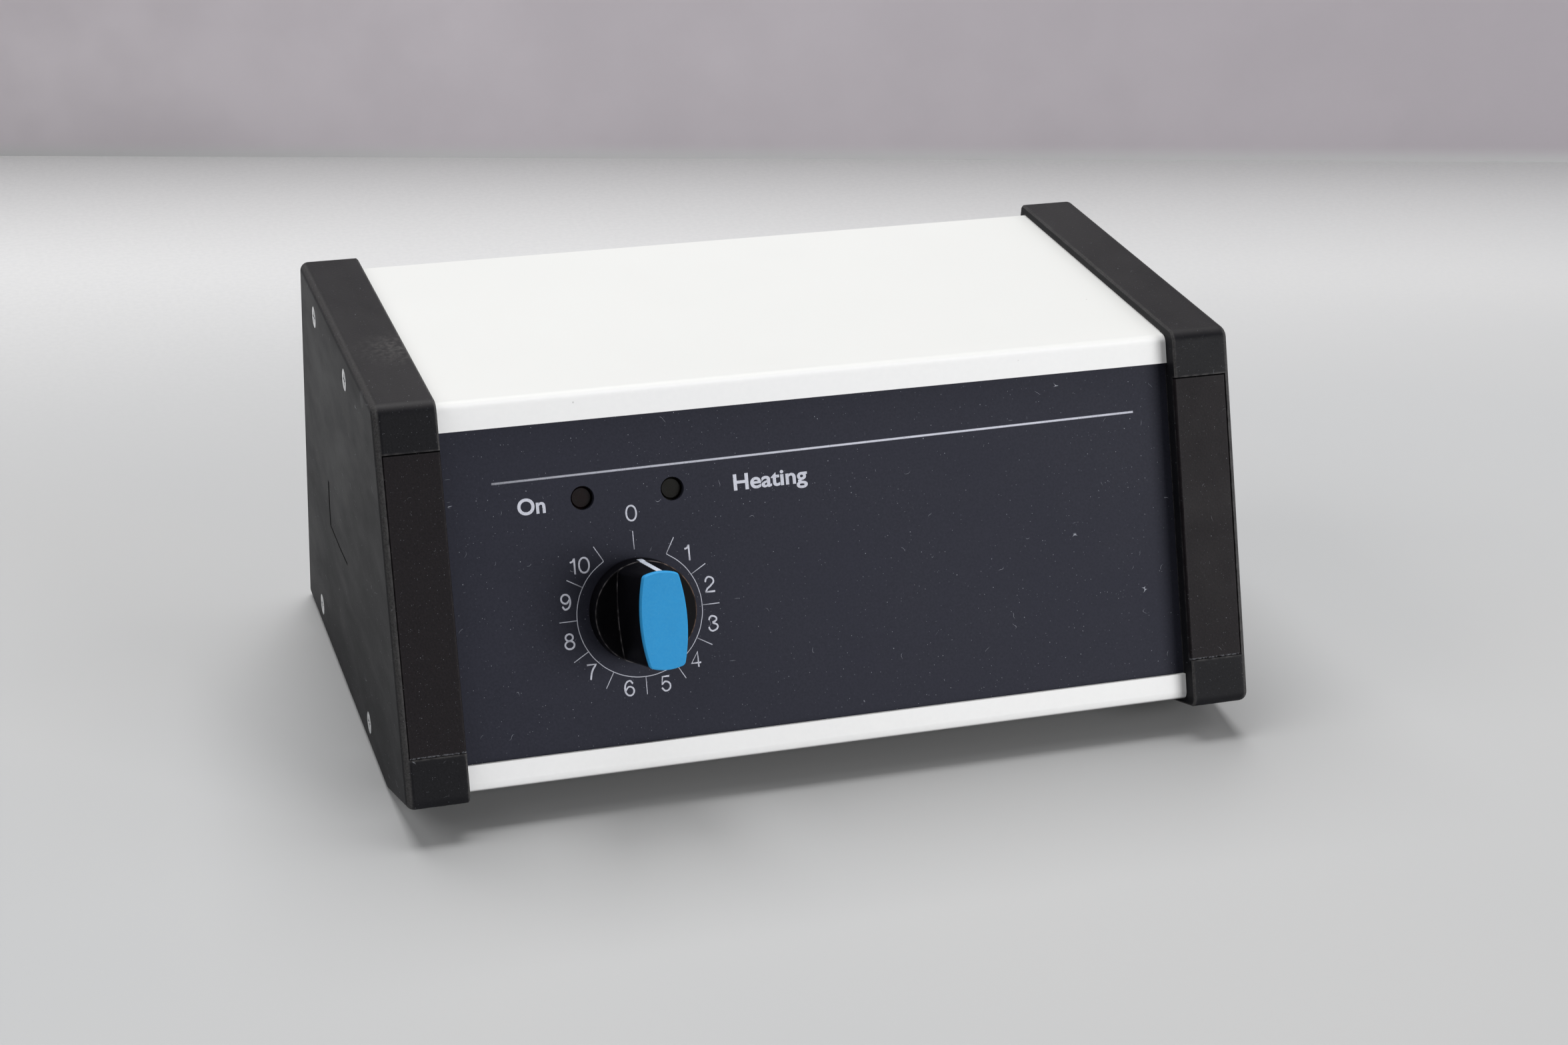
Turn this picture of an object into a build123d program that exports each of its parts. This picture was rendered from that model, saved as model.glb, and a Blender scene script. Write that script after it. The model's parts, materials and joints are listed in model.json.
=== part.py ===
"""Bench-top power controller for a heating mantle.

A desk case stands on two moulded end cheeks. Four tie bars hold the cheeks apart, bent sheet
covers close the top and the bottom, and a sloping front panel carries the dial and two pilot lamps.
X runs to the right along the front, Y to the back and Z up; the origin is the centre of the
footprint on the table.
"""

import os
from math import cos, radians, sin, sqrt, tan

from build123d import *

# ------------------------------------------------------------------ driving dimensions, mm and degrees
# case
INNER_WIDTH = 204.2  # between the cheeks' inner faces
CHEEK_THICKNESS = 16.7
HEIGHT = 108.8
FOOT_DEPTH = 124.4  # length of the cheek's flat foot
FACET_LENGTH = 31.7  # lower front facet, square to the panel
PANEL_TILT = 19.2  # the front leans back from the vertical
BACK_LEAN = 4.3  # the back edge leans forward from the vertical
CORNER_RADIUS = 2.6
FRONT_TOP_RADIUS = 3.6
BACK_TOP_RADIUS = 1.6
OUTER_EDGE_RADIUS = 2.3
INNER_EDGE = 0.5
SIDE_WALL = 3.0
RIM_WALL = 1.6  # wall round the cheek's rim
TOP_RIM = 2.4  # the same wall above the top cover
FIT_GAP = 0.1  # play between sheet and cheek
TONGUE = 3.0  # how far sheets run into a cheek
TONGUE_PLAY = 0.3
SHEET = 1.5
BEND_RADIUS = 2.4
REAR_LIP = 11.0
REAR_INSET = 3.4  # rear panel behind the cheek's top back corner

# front
CAP_PROUD = 6.4  # cheek front ahead of the panel
DIAL_UP = 44.4  # dial axis above the cheek's lower front corner, along the panel
DIAL_FROM_LEFT = 50.2  # dial axis from the left cheek's inner face
PANEL_THICKNESS = 2.0
UPPER_LIP_EDGE = 51.4  # lower edge of the top cover's lip above the dial axis
LOWER_LIP_EDGE = 35.4  # upper edge of the bottom shell's lip below the dial axis
TRIM_THICKNESS = 1.6
TRIM_RECESS = 0.3  # trim strip behind the cheek's front face
TRIM_RIM = 1.6
TRIM_PLAY = 0.08
TOP_CAP = 12.3  # bare cheek above the trim strip
BOTTOM_CAP = 13.2  # bare cheek below the trim strip
TRIM_EDGE_RADIUS = 0.4

# tie bars and case screws
BAR_SIZE = 9.0
BAR_EDGE = 0.8
UPPER_BAR_AHEAD = 45.4  # front bars' centres behind the cheek's front foot corner
LOWER_BAR_AHEAD = 24.9
UPPER_BAR_BEHIND = 19.5  # rear bars' centres ahead of the rear panel's face
LOWER_BAR_BEHIND = 13.0
BOSS_PLAY = 0.3
CASE_SCREW_RADIUS = 1.5
CASE_SCREW_HEAD = 3.0
CASE_SCREW_GRIP = 11.0  # thread inside the tie bar
COUNTERSINK_ANGLE = 90.0
HEAD_SINK = 0.1
CROSS_SLOT_LENGTH = 3.4
CROSS_SLOT_WIDTH = 0.8
CROSS_SLOT_DEPTH = 1.1
THREAD_PLAY = 0.05
HOLE_PLAY = 0.15

# knob
KNOB_RADIUS = 13.8
KNOB_CLEARANCE = 0.7  # under the skirt
SKIRT_TOP = 7.0  # above the panel
SKIRT_DRAFT = 1.5
SKIRT_LEDGE = 0.2  # the grip's ends stand back from the skirt's edge
GRIP_TOP = 24.0
GRIP_BASE_WIDTH = 15.0
GRIP_BASE_END = 13.4
GRIP_LENGTH = 25.5
GRIP_WIDTH = 12.3
GRIP_END = 9.3
GRIP_CROWN = 0.9
GRIP_CORNER = 1.3
CAP_THICKNESS = 1.5
CAP_EDGE = 0.35
KNOB_HOLLOW_RADIUS = 10.6
KNOB_HOLLOW_DEPTH = 5.8
KNOB_BORE_DEPTH = 13.0
POINTER_WIDTH = 1.5
POINTER_START = 4.0  # above the panel, on the skirt's side
POINTER_DEPTH = 0.6
POINTER_PROUD = 0.06
SHAFT_CHAMFER = 0.4

# regulator behind the dial
REGULATOR_SIZE = 44.0
REGULATOR_DEPTH = 26.0
REGULATOR_CORNER = 4.0
REGULATOR_EDGE = 1.0
SHAFT_RADIUS = 3.0
SHAFT_FLAT = 1.0
SHAFT_TOP = 17.0
SHAFT_ROOT = 6.0
RUNNING_CLEARANCE = 0.05
KNOB_BORE_CLEARANCE = 0.04
BUSH_RADIUS = 5.0
BUSH_TOP = 4.4
BUSH_CHAMFER = 0.5
WASHER_RADIUS = 8.0
WASHER_THICKNESS = 0.8
NUT_ACROSS_FLATS = 14.0
NUT_THICKNESS = 2.6
SPADE_LENGTH = 8.0
SPADE_WIDTH = 6.3
SPADE_THICKNESS = 0.8
SPADE_SPACING = 14.0

# pilot lamps
LAMP_UP = 30.9
LAMP_LEFT = -12.9
LAMP_RIGHT = 11.4
LENS_RADIUS = 3.0
LENS_SINK = 1.6
LENS_DOME = 0.5
LENS_FLANGE_RADIUS = 4.4
LENS_FLANGE = 1.2
LENS_LENGTH = 7.0
LED_RADIUS = 2.4
BOARD_DEPTH = 14.0  # board face behind the panel
BOARD_THICKNESS = 1.6
BOARD_LENGTH = 50.0
BOARD_HEIGHT = 16.0
SPACER_FLATS = 5.5
SPACER_REACH = 20.0  # spacer from the middle between the lamps
SPACER_SCREW_RADIUS = 1.4
SPACER_SCREW_HEAD = 2.6
SPACER_SCREW_HEAD_HEIGHT = 1.6

# back
REAR_CENTRE = 54.0  # height of the connectors' centres
SOCKET_FROM_RIGHT = 49.25  # socket axis from the right cheek's inner face
SOCKET_FLANGE = 50.0
SOCKET_FLANGE_CORNER = 7.0
SOCKET_FLANGE_THICKNESS = 4.0
SOCKET_RECESS_RADIUS = 19.75
SOCKET_RECESS_DEPTH = 17.5
SOCKET_WALL = 1.9
SOCKET_FLOOR = 3.0
SOCKET_RIB_WIDTH = 4.6
SOCKET_RIB_HEIGHT = 2.2
CONTACT_SPACING = 19.0
CONTACT_HOLE_RADIUS = 2.6
CONTACT_TUBE_RADIUS = 3.6
CONTACT_TUBE_LENGTH = 12.0
EARTH_CLIP_WIDTH = 4.0
EARTH_CLIP_THICKNESS = 0.6
EARTH_CLIP_BOW = 2.2
EARTH_CLIP_FLAT = 5.9
SOCKET_SCREW_SPACING = 38.0
INLET_FROM_LEFT = 39.25  # inlet axis from the left cheek's inner face
INLET_FLANGE_LENGTH = 50.0
INLET_FLANGE_HEIGHT = 25.0
INLET_FLANGE_CORNER = 7.0
INLET_FLANGE_THICKNESS = 2.5
INLET_RECESS_WIDTH = 24.6
INLET_RECESS_HEIGHT = 16.6
INLET_RECESS_DEPTH = 18.0
INLET_BEVEL = 5.0
INLET_WALL = 1.7
INLET_FLOOR = 2.5
INLET_SCREW_SPACING = 40.0
PIN_WIDTH = 2.0
PIN_HEIGHT = 4.0
PIN_SPACING = 7.0
PIN_OFFSET = 2.0
PIN_LENGTH = 13.0
PIN_TAIL = 9.0
FUSE_X = -10.0
FUSE_BODY_RADIUS = 6.0
FUSE_BODY_LENGTH = 27.0
FUSE_FLANGE_RADIUS = 8.0
FUSE_FLANGE_THICKNESS = 1.8
FUSE_CAP_RADIUS = 6.4
FUSE_CAP_HEIGHT = 6.5
FUSE_CAP_EDGE = 0.8
FUSE_SLOT_WIDTH = 1.6
FUSE_SLOT_DEPTH = 1.8
FUSE_NUT_FLATS = 17.0
FUSE_NUT_THICKNESS = 3.5
REAR_SCREW_RADIUS = 1.5
REAR_SCREW_HEAD = 2.8
REAR_SCREW_HEAD_HEIGHT = 1.9
REAR_SCREW_LENGTH = 7.0
REAR_SCREW_FROM_END = 21.25  # from the cheek's inner face
REAR_SCREW_INSET = 6.0  # from the cover's outer face
REAR_SCREW_EDGE = 0.7

# on the floor inside
TERMINAL_X = 24.0
TERMINAL_Y = 54.4  # behind the cheek's front foot corner
TERMINAL_LENGTH = 44.0
TERMINAL_WIDTH = 18.0
TERMINAL_HEIGHT = 15.0
TERMINAL_TOP_WIDTH = 11.0
TERMINAL_POLES = 4
TERMINAL_WIRE_RADIUS = 1.8
TERMINAL_WIRE_HEIGHT = 5.0
TERMINAL_SCREW_RADIUS = 2.0
TERMINAL_SCREW_DEPTH = 5.0
TERMINAL_SCREW_SINK = 1.2
EARTH_X = -24.0
EARTH_Y = 68.4
EARTH_STUD_RADIUS = 2.0
EARTH_STUD_HEIGHT = 14.0
EARTH_BASE_RADIUS = 4.5
EARTH_BASE_THICKNESS = 1.2
EARTH_NUT_FLATS = 7.0
EARTH_NUT_THICKNESS = 3.2

# ------------------------------------------------------------------ places worked out from the sizes
tilt_sin = sin(radians(PANEL_TILT))
tilt_cos = cos(radians(PANEL_TILT))
knob_top = GRIP_TOP + CAP_THICKNESS

# the front foot corner is the zero of these first lengths, which run along Y
corner_ahead = FACET_LENGTH * tilt_cos
dial_ahead = corner_ahead - DIAL_UP * tilt_sin - CAP_PROUD * tilt_cos
front_reach = dial_ahead + knob_top * tilt_cos + GRIP_LENGTH / 2 * tilt_sin
foot_front = (front_reach - FOOT_DEPTH) / 2
foot_back = foot_front + FOOT_DEPTH

dial_x = DIAL_FROM_LEFT - INNER_WIDTH / 2
dial_y = foot_front - dial_ahead
dial_z = FACET_LENGTH * tilt_sin + DIAL_UP * tilt_cos - CAP_PROUD * tilt_sin
dial_plane = Plane(origin=(dial_x, dial_y, dial_z), x_dir=(1, 0, 0), z_dir=(0, -tilt_cos, tilt_sin))
panel_axis = Axis(dial_plane.origin, dial_plane.z_dir)


def side_point(up, out):
    """Y and Z of a point that lies up the panel from the dial axis and out from its face."""
    return (dial_y + up * tilt_sin - out * tilt_cos, dial_z + up * tilt_cos + out * tilt_sin)


def up_at(height, out):
    """How far up the panel the given height is reached, at a distance out from its face."""
    return (height - dial_z - out * tilt_sin) / tilt_cos


def out_at(height, up):
    """How far out from the panel's face the given height is reached."""
    return (height - dial_z - up * tilt_cos) / tilt_sin


inner_x = INNER_WIDTH / 2
outer_x = inner_x + CHEEK_THICKNESS
back_top = foot_back - HEIGHT * tan(radians(BACK_LEAN))
rear_y = back_top - REAR_INSET
cover_top_z = HEIGHT - TOP_RIM - FIT_GAP
cover_under_z = cover_top_z - SHEET
shell_z = RIM_WALL + FIT_GAP
floor_z = shell_z + SHEET
lip_out = FIT_GAP + SHEET
shell_up = RIM_WALL + FIT_GAP - DIAL_UP
lip_back = rear_y + FIT_GAP + SHEET
socket_x = inner_x - SOCKET_FROM_RIGHT
inlet_x = INLET_FROM_LEFT - inner_x
panel_back = -PANEL_THICKNESS

upper_bar_z = cover_under_z - BAR_SIZE / 2
lower_bar_z = floor_z + BAR_SIZE / 2
bar_centres = [
    (foot_front + UPPER_BAR_AHEAD, upper_bar_z),
    (rear_y - UPPER_BAR_BEHIND, upper_bar_z),
    (foot_front + LOWER_BAR_AHEAD, lower_bar_z),
    (rear_y - LOWER_BAR_BEHIND, lower_bar_z),
]

side_outline = [
    (back_top, HEIGHT),
    side_point(up_at(HEIGHT, CAP_PROUD), CAP_PROUD),
    side_point(-DIAL_UP, CAP_PROUD),
    (foot_front, 0),
    (foot_back, 0),
]
rim_outline = [
    (rear_y + FIT_GAP, HEIGHT - TOP_RIM),
    side_point(up_at(HEIGHT - TOP_RIM, FIT_GAP), FIT_GAP),
    side_point(RIM_WALL - DIAL_UP, FIT_GAP),
    side_point(RIM_WALL - DIAL_UP, out_at(RIM_WALL, RIM_WALL - DIAL_UP)),
    (rear_y + FIT_GAP, RIM_WALL),
]
trim_low = BOTTOM_CAP - DIAL_UP
trim_high = up_at(HEIGHT, CAP_PROUD) - TOP_CAP


def rear_plane(x, z, out=0.0):
    """Plane on the rear panel's outer face, its normal to the back."""
    return Plane(origin=(x, rear_y + out, z), x_dir=(-1, 0, 0), z_dir=(0, 1, 0))


def outline_face(points):
    """Closed face through the points."""
    with BuildSketch(mode=Mode.PRIVATE) as face:
        with BuildLine():
            Polyline(*points, close=True)
        make_face()
    return face.sketch


def sheet_section(points, side):
    """Section of a bent sheet whose outer skin runs through the points."""
    with BuildSketch(mode=Mode.PRIVATE) as section:
        with BuildLine():
            FilletPolyline(*points, radius=BEND_RADIUS)
            offset(amount=SHEET, side=side)
        make_face()
    return section.sketch


def grip_face(length, width, end_width, crown, corner):
    """Barrel outline with bulging flanks and crowned ends."""
    half = length / 2
    shoulder = half - crown
    edge = end_width / 2
    with BuildSketch(mode=Mode.PRIVATE) as face:
        with BuildLine():
            ThreePointArc((edge, -shoulder), (width / 2, 0), (edge, shoulder))
            ThreePointArc((edge, shoulder), (0, half), (-edge, shoulder))
            ThreePointArc((-edge, shoulder), (-width / 2, 0), (-edge, -shoulder))
            ThreePointArc((-edge, -shoulder), (0, -half), (edge, -shoulder))
        make_face()
        fillet(face.vertices(), radius=corner)
    return face.sketch


def flatted_circle(radius, flat):
    """Circle with a flat cut across its lower side."""
    with BuildSketch(mode=Mode.PRIVATE) as face:
        Circle(radius)
        with Locations((0, -radius)):
            Rectangle(2 * radius, 2 * flat, mode=Mode.SUBTRACT)
    return face.sketch


def hexagon(flats):
    """Hexagon of the given width across flats."""
    with BuildSketch(mode=Mode.PRIVATE) as face:
        RegularPolygon(radius=flats / 2, side_count=6, major_radius=False)
    return face.sketch


# ------------------------------------------------------------------ end cheeks and trim strips
with BuildPart() as cheek_left:
    with BuildSketch(Plane.YZ.offset(-outer_x)) as cheek_outline:
        add(outline_face(side_outline))
        fillet(cheek_outline.vertices().group_by(Axis.Y)[-1].sort_by(Axis.X)[-1], radius=BACK_TOP_RADIUS)
        fillet(cheek_outline.vertices().group_by(Axis.Y)[-1].sort_by(Axis.X)[0], radius=FRONT_TOP_RADIUS)
        fillet(cheek_outline.vertices().sort_by(Axis.Y)[:3], radius=CORNER_RADIUS)
    extrude(amount=CHEEK_THICKNESS)
    fillet(cheek_left.faces().sort_by(Axis.X)[0].edges(), radius=OUTER_EDGE_RADIUS)
    chamfer(cheek_left.faces().sort_by(Axis.X)[-1].edges(), length=INNER_EDGE)
    with BuildSketch(Plane.YZ.offset(-inner_x)):
        add(outline_face(rim_outline))
    extrude(amount=SIDE_WALL - CHEEK_THICKNESS, mode=Mode.SUBTRACT)
    with BuildSketch(Plane.YZ.offset(-inner_x)):
        with Locations(*bar_centres):
            Circle(BAR_SIZE / 2 - BOSS_PLAY)
    extrude(amount=SIDE_WALL / 2 - CHEEK_THICKNESS)
    with Locations(*[Plane(origin=(-outer_x, y, z), z_dir=(-1, 0, 0)) for y, z in bar_centres]):
        CounterSinkHole(
            radius=CASE_SCREW_RADIUS + HOLE_PLAY,
            counter_sink_radius=CASE_SCREW_HEAD + HOLE_PLAY + HEAD_SINK,
            depth=CHEEK_THICKNESS,
            counter_sink_angle=COUNTERSINK_ANGLE,
        )
    with BuildSketch(dial_plane.offset(CAP_PROUD)):
        with Locations((TRIM_RIM - outer_x - dial_x, (trim_low + trim_high) / 2)):
            Rectangle(CHEEK_THICKNESS, trim_high - trim_low, align=(Align.MIN, Align.CENTER))
    extrude(amount=-TRIM_THICKNESS - TRIM_RECESS, mode=Mode.SUBTRACT)

with BuildPart() as cheek_right:
    mirror(cheek_left.part, about=Plane.YZ)

with BuildPart() as trim_left:
    with BuildSketch(dial_plane.offset(CAP_PROUD - TRIM_RECESS - TRIM_THICKNESS)):
        with Locations((TRIM_RIM + TRIM_PLAY - outer_x - dial_x, (trim_low + trim_high) / 2)):
            Rectangle(
                CHEEK_THICKNESS - TRIM_RIM - TRIM_PLAY,
                trim_high - trim_low - 2 * TRIM_PLAY,
                align=(Align.MIN, Align.CENTER),
            )
    extrude(amount=TRIM_THICKNESS)
    fillet(trim_left.faces().sort_by(panel_axis)[-1].edges(), radius=TRIM_EDGE_RADIUS)

with BuildPart() as trim_right:
    mirror(trim_left.part, about=Plane.YZ)

# ------------------------------------------------------------------ sheet covers
rear_screw_x = (REAR_SCREW_FROM_END - inner_x, inner_x - REAR_SCREW_FROM_END)
rear_screw_z = (shell_z + REAR_SCREW_INSET, cover_top_z - REAR_SCREW_INSET)
rear_screw_places = [(x, z) for x in rear_screw_x for z in rear_screw_z]

with BuildPart() as cover_top:
    with BuildSketch(Plane.YZ.offset(-inner_x + FIT_GAP)):
        add(
            sheet_section(
                [
                    side_point(UPPER_LIP_EDGE, lip_out),
                    side_point(up_at(cover_top_z, lip_out), lip_out),
                    (lip_back, cover_top_z),
                    (lip_back, cover_top_z - REAR_LIP),
                ],
                Side.RIGHT,
            )
        )
    extrude(amount=INNER_WIDTH - 2 * FIT_GAP)
    tongue_front = side_point(up_at(cover_top_z, 0), 0)[0] + BEND_RADIUS
    tongue_back = rear_y - FIT_GAP
    with BuildSketch(Plane.XY.offset(cover_under_z)):
        with Locations((0, (tongue_front + tongue_back) / 2)):
            Rectangle(INNER_WIDTH + 2 * (TONGUE - TONGUE_PLAY), tongue_back - tongue_front)
    extrude(amount=SHEET)
    with BuildSketch(rear_plane(0, 0, FIT_GAP)):
        with Locations(*[(-x, z) for x, z in rear_screw_places]):
            Circle(REAR_SCREW_RADIUS + HOLE_PLAY)
    extrude(amount=SHEET, mode=Mode.SUBTRACT)

with BuildPart() as shell_bottom:
    shell_knee = side_point(shell_up, out_at(shell_z, shell_up))
    with BuildSketch(Plane.YZ.offset(-inner_x + FIT_GAP)):
        add(
            sheet_section(
                [
                    side_point(-LOWER_LIP_EDGE, lip_out),
                    side_point(shell_up, lip_out),
                    shell_knee,
                    (lip_back, shell_z),
                    (lip_back, shell_z + REAR_LIP),
                ],
                Side.LEFT,
            )
        )
    extrude(amount=INNER_WIDTH - 2 * FIT_GAP)
    shell_front = shell_knee[0] + BEND_RADIUS
    with BuildSketch(Plane.XY.offset(shell_z)):
        with Locations((0, (shell_front + tongue_back) / 2)):
            Rectangle(INNER_WIDTH + 2 * (TONGUE - TONGUE_PLAY), tongue_back - shell_front)
    extrude(amount=SHEET)
    with BuildSketch(rear_plane(0, 0, FIT_GAP)):
        with Locations(*[(-x, z) for x, z in rear_screw_places]):
            Circle(REAR_SCREW_RADIUS + HOLE_PLAY)
    extrude(amount=SHEET, mode=Mode.SUBTRACT)

# ------------------------------------------------------------------ front and rear panels
bend_play = BEND_RADIUS - SHEET + FIT_GAP
panel_bottom_up = shell_up + SHEET + bend_play
panel_top_up = up_at(cover_under_z, 0) - bend_play
with BuildPart() as panel_front:
    with BuildSketch(dial_plane):
        with Locations((-dial_x, (panel_bottom_up + panel_top_up) / 2)):
            Rectangle(INNER_WIDTH + 2 * (TONGUE - TONGUE_PLAY), panel_top_up - panel_bottom_up)
        Circle(BUSH_RADIUS + HOLE_PLAY, mode=Mode.SUBTRACT)
        with Locations((LAMP_LEFT, LAMP_UP), (LAMP_RIGHT, LAMP_UP)):
            Circle(LENS_RADIUS + HOLE_PLAY, mode=Mode.SUBTRACT)
    extrude(amount=-PANEL_THICKNESS)

rear_bottom = floor_z + bend_play
rear_top = cover_under_z - bend_play
socket_screws_at = SOCKET_SCREW_SPACING / 2
socket_screw_places = [
    (x, z) for x in (-socket_screws_at, socket_screws_at) for z in (-socket_screws_at, socket_screws_at)
]
inlet_screw_places = [(-INLET_SCREW_SPACING / 2, 0), (INLET_SCREW_SPACING / 2, 0)]
socket_cup_radius = SOCKET_RECESS_RADIUS + SOCKET_WALL
inlet_body_width = INLET_RECESS_WIDTH + 2 * INLET_WALL
inlet_body_height = INLET_RECESS_HEIGHT + 2 * INLET_WALL

with BuildPart() as panel_rear:
    with BuildSketch(rear_plane(0, 0)):
        with Locations((0, (rear_bottom + rear_top) / 2)):
            Rectangle(INNER_WIDTH + 2 * (TONGUE - TONGUE_PLAY), rear_top - rear_bottom)
        with Locations(*[(-x, z) for x, z in rear_screw_places]):
            Circle(REAR_SCREW_RADIUS + THREAD_PLAY, mode=Mode.SUBTRACT)
        with Locations((-FUSE_X, REAR_CENTRE)):
            Circle(FUSE_BODY_RADIUS + HOLE_PLAY, mode=Mode.SUBTRACT)
        with Locations((-socket_x, REAR_CENTRE)):
            Circle(socket_cup_radius + HOLE_PLAY, mode=Mode.SUBTRACT)
        with Locations(*[(x - socket_x, z + REAR_CENTRE) for x, z in socket_screw_places]):
            Circle(REAR_SCREW_RADIUS + THREAD_PLAY, mode=Mode.SUBTRACT)
        with Locations((-inlet_x, REAR_CENTRE)):
            Rectangle(
                inlet_body_width + 2 * HOLE_PLAY, inlet_body_height + 2 * HOLE_PLAY, mode=Mode.SUBTRACT
            )
        with Locations(*[(x - inlet_x, z + REAR_CENTRE) for x, z in inlet_screw_places]):
            Circle(REAR_SCREW_RADIUS + THREAD_PLAY, mode=Mode.SUBTRACT)
    extrude(amount=-SHEET)

# ------------------------------------------------------------------ tie bars and case screws
with BuildPart() as tie_bars:
    with BuildSketch(Plane.YZ.offset(-inner_x)) as bar_section:
        with Locations(*bar_centres):
            Rectangle(BAR_SIZE, BAR_SIZE)
        chamfer(bar_section.vertices(), length=BAR_EDGE)
    extrude(amount=INNER_WIDTH)
    for end in (-1, 1):
        with BuildSketch(Plane.YZ.offset(end * inner_x)):
            with Locations(*bar_centres):
                Circle(CASE_SCREW_RADIUS + THREAD_PLAY)
        extrude(amount=-end * (CASE_SCREW_GRIP + TONGUE_PLAY), mode=Mode.SUBTRACT)

with BuildPart() as screws_left:
    with BuildSketch(Plane.YZ.offset(HEAD_SINK - outer_x)):
        with Locations(*bar_centres):
            Circle(CASE_SCREW_RADIUS)
    extrude(amount=CHEEK_THICKNESS - HEAD_SINK + CASE_SCREW_GRIP)
    head_height = CASE_SCREW_HEAD - CASE_SCREW_RADIUS
    for y, z in bar_centres:
        with Locations(Location((HEAD_SINK + head_height / 2 - outer_x, y, z), (0, 90, 0))):
            Cone(bottom_radius=CASE_SCREW_HEAD, top_radius=CASE_SCREW_RADIUS, height=head_height)
    with BuildSketch(Plane.YZ.offset(HEAD_SINK - outer_x)):
        with Locations(*bar_centres):
            Rectangle(CROSS_SLOT_LENGTH, CROSS_SLOT_WIDTH)
            Rectangle(CROSS_SLOT_WIDTH, CROSS_SLOT_LENGTH)
    extrude(amount=CROSS_SLOT_DEPTH, mode=Mode.SUBTRACT)

with BuildPart() as screws_right:
    mirror(screws_left.part, about=Plane.YZ)

# ------------------------------------------------------------------ knob, cap and pointer
draft_shrink = (SKIRT_TOP - KNOB_CLEARANCE) * tan(radians(SKIRT_DRAFT))
start_shrink = (POINTER_START - KNOB_CLEARANCE) * tan(radians(SKIRT_DRAFT))
skirt_top_radius = KNOB_RADIUS - draft_shrink
grip_foot = skirt_top_radius - SKIRT_LEDGE
base_crown = grip_foot - sqrt(grip_foot**2 - (GRIP_BASE_END / 2) ** 2)
pointer_path = [
    (KNOB_RADIUS - start_shrink, POINTER_START),
    (skirt_top_radius, SKIRT_TOP),
    (grip_foot, SKIRT_TOP + SKIRT_LEDGE),
    (GRIP_LENGTH / 2, GRIP_TOP),
]
pointer_outline = [side_point(up + POINTER_PROUD, out) for up, out in pointer_path]
pointer_outline += [side_point(up - POINTER_DEPTH, out) for up, out in reversed(pointer_path)]
with BuildPart() as knob:
    with BuildSketch(dial_plane.offset(KNOB_CLEARANCE)):
        Circle(KNOB_RADIUS)
    extrude(amount=SKIRT_TOP - KNOB_CLEARANCE, taper=SKIRT_DRAFT)
    with BuildSketch(dial_plane.offset(SKIRT_TOP)):
        add(grip_face(2 * grip_foot, GRIP_BASE_WIDTH, GRIP_BASE_END, base_crown, GRIP_CORNER))
    with BuildSketch(dial_plane.offset(GRIP_TOP)):
        add(grip_face(GRIP_LENGTH, GRIP_WIDTH, GRIP_END, GRIP_CROWN, GRIP_CORNER))
    loft()
    with BuildSketch(dial_plane.offset(KNOB_CLEARANCE)):
        Circle(KNOB_HOLLOW_RADIUS)
    extrude(amount=KNOB_HOLLOW_DEPTH, mode=Mode.SUBTRACT)
    with BuildSketch(dial_plane.offset(KNOB_CLEARANCE + KNOB_HOLLOW_DEPTH)):
        add(flatted_circle(SHAFT_RADIUS + KNOB_BORE_CLEARANCE, SHAFT_FLAT))
    extrude(amount=KNOB_BORE_DEPTH, mode=Mode.SUBTRACT)
    with BuildSketch(Plane.YZ.offset(dial_x - POINTER_WIDTH / 2)):
        add(outline_face(pointer_outline))
    extrude(amount=POINTER_WIDTH, mode=Mode.SUBTRACT)

with BuildPart() as knob_pointer:
    with BuildSketch(Plane.YZ.offset(dial_x - POINTER_WIDTH / 2)):
        add(outline_face(pointer_outline))
    extrude(amount=POINTER_WIDTH)

with BuildPart() as knob_cap:
    with BuildSketch(dial_plane.offset(GRIP_TOP)):
        add(grip_face(GRIP_LENGTH, GRIP_WIDTH, GRIP_END, GRIP_CROWN, GRIP_CORNER))
    extrude(amount=CAP_THICKNESS)
    chamfer(knob_cap.faces().sort_by(panel_axis)[-1].edges(), length=CAP_EDGE)


# ------------------------------------------------------------------ regulator, bush and shaft
with BuildPart() as regulator_body:
    with BuildSketch(dial_plane.offset(panel_back)) as regulator_face:
        Rectangle(REGULATOR_SIZE, REGULATOR_SIZE)
        fillet(regulator_face.vertices(), radius=REGULATOR_CORNER)
        Circle(BUSH_RADIUS + THREAD_PLAY, mode=Mode.SUBTRACT)
    extrude(amount=-SHAFT_ROOT)
    with BuildSketch(dial_plane.offset(panel_back - SHAFT_ROOT)) as regulator_case:
        Rectangle(REGULATOR_SIZE, REGULATOR_SIZE)
        fillet(regulator_case.vertices(), radius=REGULATOR_CORNER)
    extrude(amount=SHAFT_ROOT - REGULATOR_DEPTH)
    chamfer(regulator_body.faces().sort_by(panel_axis)[0].edges(), length=REGULATOR_EDGE)

spade_places = [
    (x, y)
    for x in (-SPADE_SPACING, 0, SPADE_SPACING)
    for y in (-SPADE_SPACING / 2, SPADE_SPACING / 2)
]
with BuildPart() as regulator_spades:
    with BuildSketch(dial_plane.offset(panel_back - REGULATOR_DEPTH)):
        with Locations(*spade_places):
            Rectangle(SPADE_THICKNESS, SPADE_WIDTH)
    extrude(amount=-SPADE_LENGTH)

with BuildPart() as regulator_bush:
    with BuildSketch(dial_plane.offset(panel_back - SHAFT_ROOT)):
        Circle(BUSH_RADIUS)
        Circle(SHAFT_RADIUS + RUNNING_CLEARANCE, mode=Mode.SUBTRACT)
    extrude(amount=SHAFT_ROOT - panel_back + BUSH_TOP)
    bush_rim = regulator_bush.faces().sort_by(panel_axis)[-1].edges().sort_by(SortBy.LENGTH)[-1]
    chamfer(bush_rim, length=BUSH_CHAMFER)

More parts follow.
